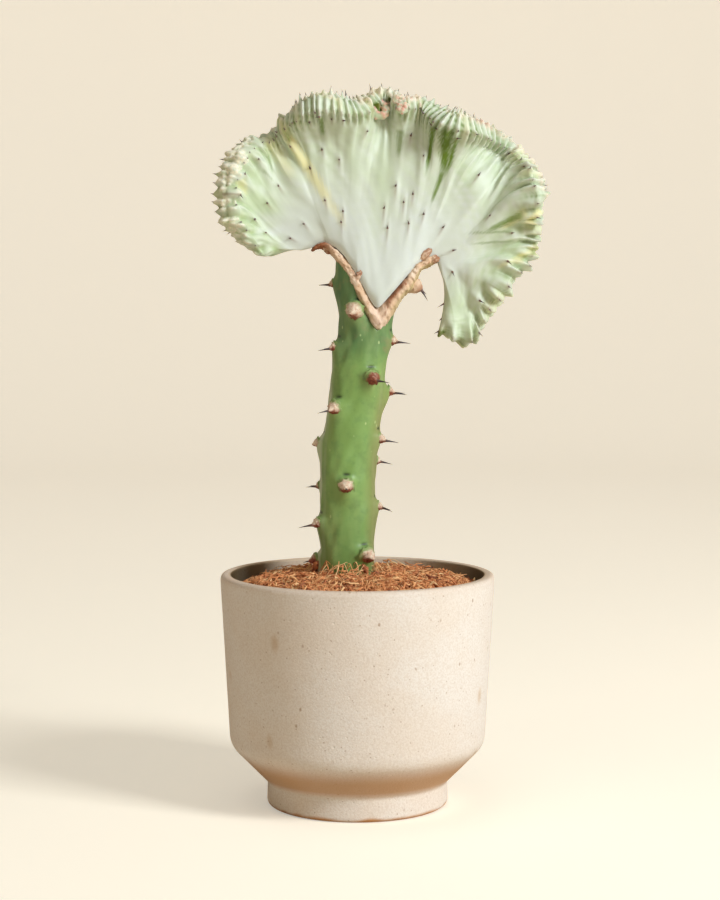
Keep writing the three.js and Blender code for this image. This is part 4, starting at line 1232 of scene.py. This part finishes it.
class Crest:
    """The crest's surface: columns along the growing edge, each a closed loop up the front face, over the
    cap and down the back face."""

    def __init__(self, rib_height, crimp_height):
        self.rib_height, self.crimp_height = rib_height, crimp_height
        fine = np.linspace(0, 1, 4001)
        path = rows_at(EDGE, fine)[:, :3]
        run = np.concatenate([[0], np.cumsum(np.linalg.norm(np.diff(path, axis=0), axis=1))])
        self.length = run[-1]
        self.run = np.linspace(0, self.length, CREST_COLUMNS)
        self.place = np.interp(self.run, run, fine)
        pitch = np.interp(self.place, np.linspace(0, 1, len(CRIMP_PITCH)), CRIMP_PITCH)
        pitch = pitch * (1 + 0.34 * waves(SEED + 20, self.run / 9).clip(-1.6, 1.6))
        self.crimp = np.concatenate([[0], np.cumsum(np.diff(self.run) / pitch[1:])])
        face = np.linspace(0, 1, FACE_STEPS) ** 0.74
        cap = np.cos(np.linspace(0, np.pi, CAP_STEPS + 2)[1:-1])
        self.rise = np.concatenate([face, np.ones(CAP_STEPS), face[::-1]])
        self.lean = np.concatenate([np.ones(FACE_STEPS), cap, -np.ones(FACE_STEPS)])
        self.sheet(face)
        self.relief()

    def sheet(self, face):
        """Middle of the sheet: from the root line to the edge each column is a Hermite curve with the ways of
        growth at its ends, and its stand forward fades to nothing at the root. Normals are evened along the
        edge so that folds stay open."""
        x, z, forward, lean, grow = rows_at(EDGE, self.place).T
        start = rows_at(ROOT_STARTS, self.place, smooth=False)[:, 0]
        root_x, root_z, root_half = evened(rows_at(ROOT, start / (len(ROOT) - 1), smooth=False), 6).T
        grow, lean = np.radians(grow), np.radians(lean)
        root_way = np.pi / 2 + (grow - np.pi / 2) * 0.85
        root = np.stack([root_x, 0 * root_x, root_z], 1)
        edge = np.stack([x, -forward, z], 1)
        span = np.linalg.norm(edge - root, axis=1, keepdims=True)
        leave = np.stack([np.cos(root_way), 0 * grow, np.sin(root_way)], 1) * span
        edge_way = [np.cos(grow) * np.cos(lean), -np.sin(lean), np.sin(grow) * np.cos(lean)]
        arrive = np.stack(edge_way, 1) * span * 0.75
        r = face[None, :, None]
        root, edge, leave, arrive = (a[:, None] for a in (root, edge, leave, arrive))
        middle = hermite(r, root, leave, edge, arrive)
        fold_start = np.interp(self.place, np.linspace(0, 1, 11), FOLD_STARTS)[:, None]
        middle[..., 1] *= smooth_step(fold_start, 0.93, face)
        across = np.gradient(middle, axis=0)
        along = np.gradient(middle, axis=1)
        normal = unit(np.cross(across, along))
        normal[:, 0] = [0, -1, 0]
        normal = unit(evened(normal, 14))
        whorl = hump(self.place, 0.45, 0.06)
        edge_half = (EDGE_HALF + (WHORL_HALF - EDGE_HALF) * whorl)[:, None]
        to_middle, to_edge = smooth_step(0, 0.55, face), smooth_step(0.55, 0.95, face)
        half = root_half[:, None] * (1 - to_middle) + FACE_HALF * (to_middle - to_edge)
        half = half + edge_half * to_edge
        end = np.minimum(self.run, self.length - self.run)
        self.margin = np.sqrt(np.clip((end + 0.5) / 8, 0, 1))[:, None]
        outward = unit(middle[:, -1] - middle[:, -4])[:, None]
        middle, self.normal, half = (
            np.concatenate([front, np.repeat(front[:, -1:], CAP_STEPS, 1), front[:, ::-1]], 1)
            for front in (middle, normal, half)
        )
        self.outward = np.repeat(outward, len(self.rise), 1)
        self.cap = np.sqrt(np.clip(1 - self.lean**2, 0, 1))
        self.way = unit(self.normal * self.lean[:, None] + self.outward * self.cap[:, None])
        flat = self.normal * (half * self.lean * self.margin)[..., None]
        crown = self.outward * (self.cap * CAP_HEIGHT * self.margin)[..., None]
        self.plain = middle + flat + crown
        steps = np.linalg.norm(np.diff(self.plain, axis=0), axis=-1)
        self.across = np.concatenate([np.zeros((1, len(self.rise))), np.cumsum(steps, axis=0)])

    def cloud(self, seed, width, along, **spread):
        """Smooth irregularity over the skin, by millimetres across the ribs and by the way up them."""
        return waves(SEED + seed, self.across / width, along * self.rise[None] + 0 * self.across, **spread)

    def spots(self):
        """Column and row of each face spine: the nearest front point to each seen pixel, and for the back a
        seeded scatter over the same parts of the face."""
        front = camera_pixels(self.plain[:, :FACE_STEPS])
        facing = self.normal[:, :FACE_STEPS, 1] > -0.1
        found = []
        for pixel in FACE_SPINES_SEEN:
            away = np.linalg.norm(front - pixel, axis=-1) + 60 * facing
            found.append(np.unravel_index(np.argmin(away), away.shape))
        draw = np.random.default_rng(SEED + 21)
        for k in range(BACK_SPINES):
            column = int((k + draw.uniform(0.15, 0.85)) / BACK_SPINES * CREST_COLUMNS)
            step = int(draw.choice([0.42, 0.58, 0.72, 0.86]) * FACE_STEPS + draw.uniform(-2, 2))
            found.append((column, len(self.rise) - 1 - step))
        return found

    def ribs(self, crimps_each, shift, low, middle, high):
        """Ribs of so many crimps each, in a window of the way from root to edge: waves with pointed tops."""
        phase = self.crimp / crimps_each + shift + 0.1 * waves(SEED + 22 + crimps_each, self.run / 60)
        ridge = 2 * (0.5 + 0.5 * np.cos(2 * np.pi * phase)) ** 1.4 - 0.9
        window = smooth_step(low, middle, self.rise) * (1 - smooth_step(middle, high, self.rise))
        return ridge[:, None] * window[None]

    def relief(self):
        """How far the skin stands out from the plain sheet: crimps at the edge that merge into fewer, broader
        ribs towards the root, a ridge that rises to each face spine and ends there, small bumps crowded on
        the growing line, and teeth along both shoulders."""
        draw = np.random.default_rng(SEED + 23)
        tenths = np.linspace(0, 1, 11)
        bold = np.interp(self.place, tenths, RIB_BOLDNESS)[:, None]
        left = (1 - smooth_step(0.17, 0.24, self.place))[:, None]
        front = smooth_step(0.0, 0.5, self.lean)[None]
        late = smooth_step(0.82, 1.0, self.rise)[None] * front * left
        ribs = self.ribs(2, 0.25, 0.58, 0.84, 1.0) + 1.15 * self.ribs(4, 0.1, 0.46, 0.7, 0.92)
        ribs = ribs + 1.2 * self.ribs(8, 0.4, 0.26, 0.52, 0.76)
        pairs = 2 * (0.5 + 0.5 * np.cos(np.pi * (self.crimp + 0.5)))[:, None] ** 1.3 - 0.9
        ribs = ribs + 1.3 * pairs * late
        line = np.interp(self.place, tenths, GROWING_LINE)[:, None]
        behind = smooth_step(line + 0.12, line - 0.12, self.lean[None])
        phase = self.crimp[:, None] + 0.5 * behind
        crimp = 2 * (0.5 + 0.5 * np.cos(2 * np.pi * phase)) ** 1.1 - 0.95
        short = 0.13 * hump(self.place, 0.41, 0.13)[:, None]
        band = smooth_step(0.74 + short, 0.96, self.rise[None])
        groove = hump(self.lean[None], line, 0.16) * (self.rise == 1)
        crimps = int(self.crimp[-1]) + 2
        nearest = np.rint(phase).astype(int)
        self.own = draw.uniform(0, 1, crimps)[nearest]
        uneven = draw.uniform(0.6, 1.35, crimps)[nearest]
        crimped = crimp * band * uneven * (1 - 0.8 * late) * (1 - 0.45 * (self.cap**2)[None] * left)
        self.ridge = np.clip((crimp + 1) / 2, 0, 1)
        self.band = band * (1 - 0.8 * late)
        relief = self.rib_height * bold * ribs + self.crimp_height * (0.55 + 0.5 * bold) * crimped
        relief = relief - 0.8 * groove
        self.crowded(draw, line)
        relief = relief + self.bead
        self.spine_spots = self.spots()
        self.crown = np.zeros(relief.shape)
        for column, row in self.spine_spots:
            rise = self.rise[row]
            same_side = (self.lean >= 0) == (self.lean[row] >= 0)
            up = smooth_step(rise - 0.2, rise, self.rise) * (1 - smooth_step(rise, rise + 0.07, self.rise))
            width = 1.5 + 2.2 * (1 - smooth_step(rise - 0.2, rise, self.rise))
            aside = (self.across - self.across[column]) / width
            ridge = np.exp(-(aside**2)) * (up * same_side)[None]
            self.crown = np.maximum(self.crown, ridge)
        relief = relief + self.crown * (0.4 + 0.6 * smooth_step(0.4, 0.8, self.rise))
        self.hollow = self.seen_on_cap(HOLLOWS_SEEN)
        relief = relief - 2.6 * self.hollow
        self.value = relief
        shoulder = hump(np.abs(self.lean), 0.93, 0.16) * (self.rise > 0.9)
        tall = draw.gamma(1.5, 0.8, (2, crimps))
        tall = np.where(behind > 0.5, tall[1][nearest], tall[0][nearest])
        tall = np.clip(tall, 0.15, 2.4) * (0.6 + 0.5 * bold) * (1 - 0.7 * late) * (1 - 0.5 * left)
        tooth = self.ridge**3 * shoulder[None] * tall
        point = unit(self.outward + 0.7 * self.normal * np.sign(self.lean)[:, None])
        wrinkle = 0.1 * self.cloud(30, 11, 3, count=9, high=1.4)
        self.points = self.plain + self.way * ((relief + wrinkle) * self.margin)[..., None]
        self.points = self.points + point * (tooth * self.margin)[..., None]
        self.points = self.points + self.outward * 3.2 * self.seen_on_cap(TIPS_SEEN)[..., None]

    def crowded(self, draw, line):
        """Small bumps on the growing line, as bell-shaped rises at seeded places, in millimetres, and how
        pink each is. The way over the cap is its angle times its radius."""
        arc = np.arccos(np.clip(self.lean, -1, 1)) * CAP_RADIUS
        self.bead, self.blush = np.zeros(self.across.shape), np.zeros(self.across.shape)
        for place, spread, count, aside, size, blush in BUMPS:
            for _ in range(count):
                column = int(np.clip(place + spread * draw.uniform(-1, 1), 0.01, 0.99) * (CREST_COLUMNS - 1))
                width = size * draw.uniform(0.7, 1.3)
                centre = np.arccos(np.clip(line[column, 0], -1, 1)) * CAP_RADIUS + draw.normal(0, aside)
                near = slice(max(column - 12, 0), column + 13)
                across = (self.run[near] - self.run[column])[:, None] / width
                rise = np.exp(-(across**2) - ((arc - centre) / (width * draw.uniform(0.9, 1.5))) ** 2)
                rise = rise * (self.rise == 1)
                self.blush[near] = np.maximum(self.blush[near], rise * blush * draw.uniform(0.4, 1.2))
                self.bead[near] = np.maximum(self.bead[near], rise * width * draw.uniform(0.8, 1.4))

    def seen_on_cap(self, spots):
        """Bell-shaped marks from 0 to 1 about pixels of the photograph, on the front half of the edge: pixel,
        radius in millimetres along the edge, and radius across the cap as a share of it."""
        edge = (self.rise == 1) & (self.lean > -0.1)
        rows = np.flatnonzero(edge)
        pixels = camera_pixels(self.plain[:, rows])
        mark = np.zeros(self.across.shape)
        for x, y, wide, deep in spots:
            away = np.linalg.norm(pixels - [x, y], axis=-1)
            column, row = np.unravel_index(np.argmin(away), away.shape)
            across = (self.run - self.run[column])[:, None] / wide
            lean = (self.lean - self.lean[rows[row]])[None] / deep
            mark = np.maximum(mark, np.exp(-(across**2) - lean**2))
        return mark * smooth_step(0.82, 1, self.rise)

    def painted(self, patches):
        """Strength of colour patches on the front face: soft ellipses about their pixels."""
        pixels = camera_pixels(self.plain)
        strength = np.zeros(self.value.shape)
        for x, y, wide, long, turn, amount in patches:
            turn = np.radians(turn)
            right, down = pixels[..., 0] - x, pixels[..., 1] - y
            across = (right * np.cos(turn) + down * np.sin(turn)) / wide
            along = (down * np.cos(turn) - right * np.sin(turn)) / long
            strength = np.maximum(strength, amount * np.exp(-((across**2 + along**2) ** 1.6)))
        return strength * (self.lean > -0.2)[None]

    def striped(self, stripes):
        """Strength of stripes on the front face: strips between two pixels that taper, with frayed sides."""
        pixels = camera_pixels(self.plain)
        strength = np.zeros(self.value.shape)
        fray = 0.22 * self.cloud(35, 2.2, 1.6)
        for x, y, end_x, end_y, wide, end_wide, amount in stripes:
            way = np.array([end_x - x, end_y - y], float)
            length = np.hypot(*way)
            way = way / length
            rel = pixels - [x, y]
            along = (rel @ way) / length
            width = wide + (end_wide - wide) * np.clip(along, 0, 1)
            across = np.abs(rel[..., 0] * way[1] - rel[..., 1] * way[0]) / width + fray
            ends = smooth_step(-0.12, 0.1, along) * (1 - smooth_step(0.7, 1.1, along))
            strength = np.maximum(strength, amount * ends * (1 - smooth_step(0.15, 1.35, across)))
        return strength * (self.lean > -0.2)[None]

    def colours(self):
        """Tints from the form: white at the root, green in the valleys, cream beads and pink tips on the cap,
        with the front's own patches, and for the back broad seeded ones."""
        back = (self.lean < 0)[None]
        rise = self.rise[None]
        valley = np.clip(0.45 - self.value / 1.7, 0, 1) * smooth_step(0.3, 0.8, rise)
        broad = self.cloud(31, 45, 1.2)
        streak = self.cloud(34, 11, 1.1, low=0.3)
        side = smooth_step(0.22, 0.02, self.place) + 0.25 * smooth_step(0.66, 0.8, self.place)
        green = 0.12 + 0.5 * valley + 0.2 * smooth_step(0.0, 0.9, broad) + 0.14 * streak
        green = green * (0.7 + 0.5 * np.clip(side, 0, 1))[:, None] * smooth_step(0.25, 0.6, rise)
        grooves = self.band * smooth_step(0.45, 0.1, self.ridge)
        patches = self.cloud(32, 18, 1.5)
        dark_gaps = 0.35 + 0.55 * hump(self.place, 0.56, 0.05)[:, None]
        deep = dark_gaps * grooves * (0.6 + 0.4 * streak)
        deep = deep + back * 0.45 * smooth_step(0.9, 1.3, patches) * (rise > 0.4)
        # Painted shade: the hollows of the growing edge are painted deep green
        deep = np.maximum(deep, self.hollow)
        bead = np.clip(self.bead / 1.1, 0, 1)
        tips = self.ridge**3 * (rise == 1) * smooth_step(0.75, 0.95, np.abs(self.lean))
        tips = tips * smooth_step(0.12, 0.26, self.place)[:, None]
        crinkled = self.band * smooth_step(0.8, 1.0, rise)
        deep = deep + 0.3 * crinkled * smooth_step(0.35, 0.0, self.own)
        between = smooth_step(0.35, 0.05, bead) * smooth_step(0.2, 0.1, self.place)[:, None] * (rise == 1)
        deep = deep + 0.22 * between * (0.6 + 0.4 * streak)
        yellow = self.striped(YELLOW_SEEN) + 0.3 * crinkled * smooth_step(0.6, 0.95, self.own)
        yellow = yellow + 0.35 * back * smooth_step(0.7, 1.2, broad)
        return {
            "white": 1 - smooth_step(0.15, 0.55, rise + 0.1 * streak),
            "green": np.clip(np.maximum(green, self.painted(GREEN_SEEN) + 0.4 * green), 0, 1),
            "yellow": np.clip(yellow, 0, 1),
            "deep": np.clip(np.maximum(deep, self.striped(DEEP_GREEN_SEEN)), 0, 1),
            "bead": bead,
            "pink": np.clip(self.blush, 0, 1),
            "rust": np.clip(0.3 * tips + 0.5 * self.crown**6, 0, 1),
        }

    def outs(self):
        """Way out of the finished skin at every point."""
        across = np.gradient(self.points, axis=0)
        along = np.gradient(self.points, axis=1)
        return unit(np.cross(across, along))


class CORAL_OT_crest(bpy.types.Operator):
    """Grow the crest with its ribs, crimped edge and spines"""

    bl_idname = "coral.crest"
    bl_label = "Crest"

    def execute(self, context):
        """The sheet's columns are closed loops. Strips of quads close the first and the last of them."""
        settings = context.scene.coral_look
        crest = Crest(settings.rib_height, settings.crimp_height)
        columns, rows = crest.value.shape
        quads = grid_faces(columns, rows, wrap_rows=True)
        k = np.arange(rows // 2 - 1)
        lid = np.stack([k, k + 1, rows - 2 - k, rows - 1 - k], 1)
        far = lid[:, ::-1] + (columns - 1) * rows
        quads = np.concatenate([quads, lid, far])
        skin = crest_skin(tuple(settings.crest_pale))
        make_piece("crest_sheet", crest.points, quads, [], skin, ["crest"], crest.colours())
        self.spines(crest)
        self.whorls(crest, skin)
        return {"FINISHED"}

    def whorls(self, crest, skin):
        """Rings that face forward and a little up, of (turn round the ring, turn round its section), sunk
        into the front skin at their pixels. The section's radius swells into crowded bell-shaped bumps, and
        the ring's inner side gets painted shade in deep green."""
        draw = np.random.default_rng(SEED + 38)
        front = crest.points[:, : FACE_STEPS + CAP_STEPS // 2]
        pixels = camera_pixels(front)
        columns, rows = 110, 40
        u = turns(columns)[:, None]
        v = turns(rows)[None]
        right, up = np.array([1.0, 0, 0]), np.array([0, 0.26, 0.97])
        ahead = np.array([0, -0.97, 0.26])
        vertices, faces, marks = [], [], []
        for x, y, ring, section, blush, back in WHORLS_SEEN:
            away = np.linalg.norm(pixels - [x, y], axis=-1)
            middle = front[np.unravel_index(np.argmin(away), away.shape)] + [0, back, 0]
            bump, pink = 0 * (u + v), 0 * (u + v)
            for _ in range(int(14 * ring * section)):
                turn, side, wide = draw.uniform(0, 2 * np.pi), draw.uniform(-1.6, 3.4), draw.uniform(0.6, 1.0)
                along = (u - turn + np.pi) % (2 * np.pi) - np.pi
                across = (v - side + np.pi) % (2 * np.pi) - np.pi
                around = along * (ring + section * np.cos(side)) / wide
                bell = np.exp(-(around**2) - (across * section / wide) ** 2)
                bump = np.maximum(bump, bell * wide)
                pink = np.maximum(pink, bell * blush * draw.uniform(0.35, 1.3))
            radius = (section + 0.7 * bump)[..., None]
            spoke = np.cos(u)[..., None] * right + np.sin(u)[..., None] * up
            out = np.cos(v)[..., None] * spoke + np.sin(v)[..., None] * ahead
            vertices.append((middle + ring * spoke + radius * out).reshape(-1, 3))
            faces.append(grid_faces(columns, rows, True, True, len(faces) * columns * rows))
            # Painted shade: deep green on each ring's inner side, away from its bumps
            deep = smooth_step(0.1, -0.7, np.cos(v)) * (1 - bump)
            marks.append(np.stack([bump, pink, deep], -1).reshape(-1, 3))
        bead, pink, deep = np.concatenate(marks).T
        # deep: painted shade on the rings' inner sides
        marks = {"bead": np.clip(bead * 1.2, 0, 1), "pink": pink, "deep": 0.7 * deep, "green": 0.5 + 0 * bead}
        vertices, faces = np.concatenate(vertices), np.concatenate(faces)
        make_piece("crest_whorls", vertices, faces, [], skin, ["crest"], marks)

    def spines(self, crest):
        """Face spines stand where the ridges end; edge spines stand on the teeth of both shoulders."""
        draw = np.random.default_rng(SEED + 33)
        outs = crest.outs()
        column, row = np.array(crest.spine_spots).T
        feet = crest.points[column, row]
        ways = unit(outs[column, row] + 0.75 * crest.outward[column, row] + draw.normal(0, 0.15, feet.shape))
        lengths = draw.uniform(1.6, 3.4, len(feet))
        make_spines("crest_face_spines", feet, ways, lengths, 0.42, "crest")
        for name, lean, shift in (("front", 1, 0), ("back", -1, 0.5)):
            column = np.searchsorted(crest.crimp, np.arange(2, int(crest.crimp[-1]) - 1) - shift)
            row = int(np.argmin(np.abs(crest.lean - 0.95 * lean) + 9 * (crest.rise < 1)))
            sparse = 0.45 * hump(crest.place[column], 0.36, 0.12) * (lean > 0)
            keep = column[draw.uniform(0, 1, len(column)) < 0.72 - sparse]
            feet = crest.points[keep, row]
            ways = crest.outward[keep, row] + lean * 0.65 * crest.normal[keep, row]
            ways = unit(ways + draw.normal(0, 0.16, feet.shape))
            lengths = np.clip(draw.gamma(3, 0.42, len(keep)) + 0.5, 0.8, 3.2)
            make_spines(f"crest_{name}_spines", feet, ways, lengths, 0.34, "crest", grey=0.5)


# Stage


class CORAL_OT_stage(bpy.types.Operator):
    """Set out the floor with its curved backdrop, the lights and the camera"""

    bl_idname = "coral.stage"
    bl_label = "Stage"

    def execute(self, context):
        """Backdrop: surface of (turn, way along the floor and up the wall), with a quarter circle between."""
        scene = context.scene
        bend = np.linspace(0, np.pi / 2, 24)
        sides = 96
        flat, radius, height = 1.9, 0.8, 3.2
        floor = np.stack([np.linspace(0.001, flat, 16), np.zeros(16)], 1)
        curve = np.stack([flat + radius * np.sin(bend), radius * (1 - np.cos(bend))], 1)[1:]
        path = np.concatenate([floor, curve, [[flat + radius, height]]])
        turn = turns(sides)[:, None]
        points = np.stack([path[:, 0] * np.cos(turn), path[:, 0] * np.sin(turn), path[:, 1] + 0 * turn], -1)
        points = points.reshape(-1, 3)
        faces = grid_faces(sides, len(path), wrap_columns=True)[:, ::-1]
        mesh = bpy.data.meshes.new("backdrop")
        mesh.from_pydata(points.tolist(), [], faces.tolist())
        mesh.polygons.foreach_set("use_smooth", np.ones(len(faces), bool))
        mesh.materials.append(backdrop_paint())
        backdrop = bpy.data.objects.new("backdrop", mesh)
        scene.collection.objects.link(backdrop)
        for lamp in LAMPS:
            self.light(*lamp)
        world = bpy.data.worlds.new("soft_room")
        world.use_nodes = True
        world.node_tree.nodes["Background"].inputs["Color"].default_value = ROOM_COLOUR
        world.node_tree.nodes["Background"].inputs["Strength"].default_value = ROOM_STRENGTH
        scene.world = world
        scene.view_settings.view_transform = "Standard"
        lens = bpy.data.cameras.new("camera")
        lens.lens, lens.sensor_width, lens.sensor_fit = CAMERA_LENS, SENSOR, "AUTO"
        lens.clip_end = 20
        camera = bpy.data.objects.new("camera", lens)
        camera.location = CAMERA_PLACE * MM
        camera.rotation_euler = (np.radians(90 - CAMERA_PITCH), 0, 0)
        scene.collection.objects.link(camera)
        scene.camera = camera
        return {"FINISHED"}

    def light(self, name, place, size, power, colour, target, spread):
        """A soft square lamp that faces its target, its beam as wide as the spread in degrees."""
        lamp = bpy.data.lights.new(name, "AREA")
        lamp.size, lamp.energy, lamp.color, lamp.spread = size, power, colour, np.radians(spread)
        made = bpy.data.objects.new(name, lamp)
        made.location = place
        aim = np.array(place) - target
        tilt = np.arctan2(np.hypot(aim[0], aim[1]), aim[2])
        made.rotation_euler = (tilt, 0, np.arctan2(aim[1], aim[0]) + np.pi / 2)
        bpy.context.scene.collection.objects.link(made)


class CORAL_PT_panel(bpy.types.Panel):
    """Buttons for the pieces, in the order in which they are made"""

    bl_idname = "CORAL_PT_panel"
    bl_label = "Coral Cactus"
    bl_space_type = "VIEW_3D"
    bl_region_type = "UI"
    bl_category = "Coral Cactus"

    def draw(self, context):
        for name in CoralLook.__annotations__:
            self.layout.prop(context.scene.coral_look, name)
        for maker in MAKERS:
            self.layout.operator(maker.bl_idname)


MAKERS = (CORAL_OT_stage, CORAL_OT_pot, CORAL_OT_coir, CORAL_OT_stem, CORAL_OT_callus, CORAL_OT_crest)


def register():
    bpy.utils.register_class(CoralLook)
    bpy.types.Scene.coral_look = PointerProperty(type=CoralLook)
    for made in (*MAKERS, CORAL_PT_panel):
        bpy.utils.register_class(made)


def unregister():
    for made in (CORAL_PT_panel, *reversed(MAKERS)):
        bpy.utils.unregister_class(made)
    del bpy.types.Scene.coral_look
    bpy.utils.unregister_class(CoralLook)


def main():
    register()
    bpy.ops.coral.stage()
    bpy.ops.coral.pot()
    bpy.ops.coral.coir()
    bpy.ops.coral.stem()
    bpy.ops.coral.callus()
    bpy.ops.coral.crest()


if __name__ == "__main__":
    main()
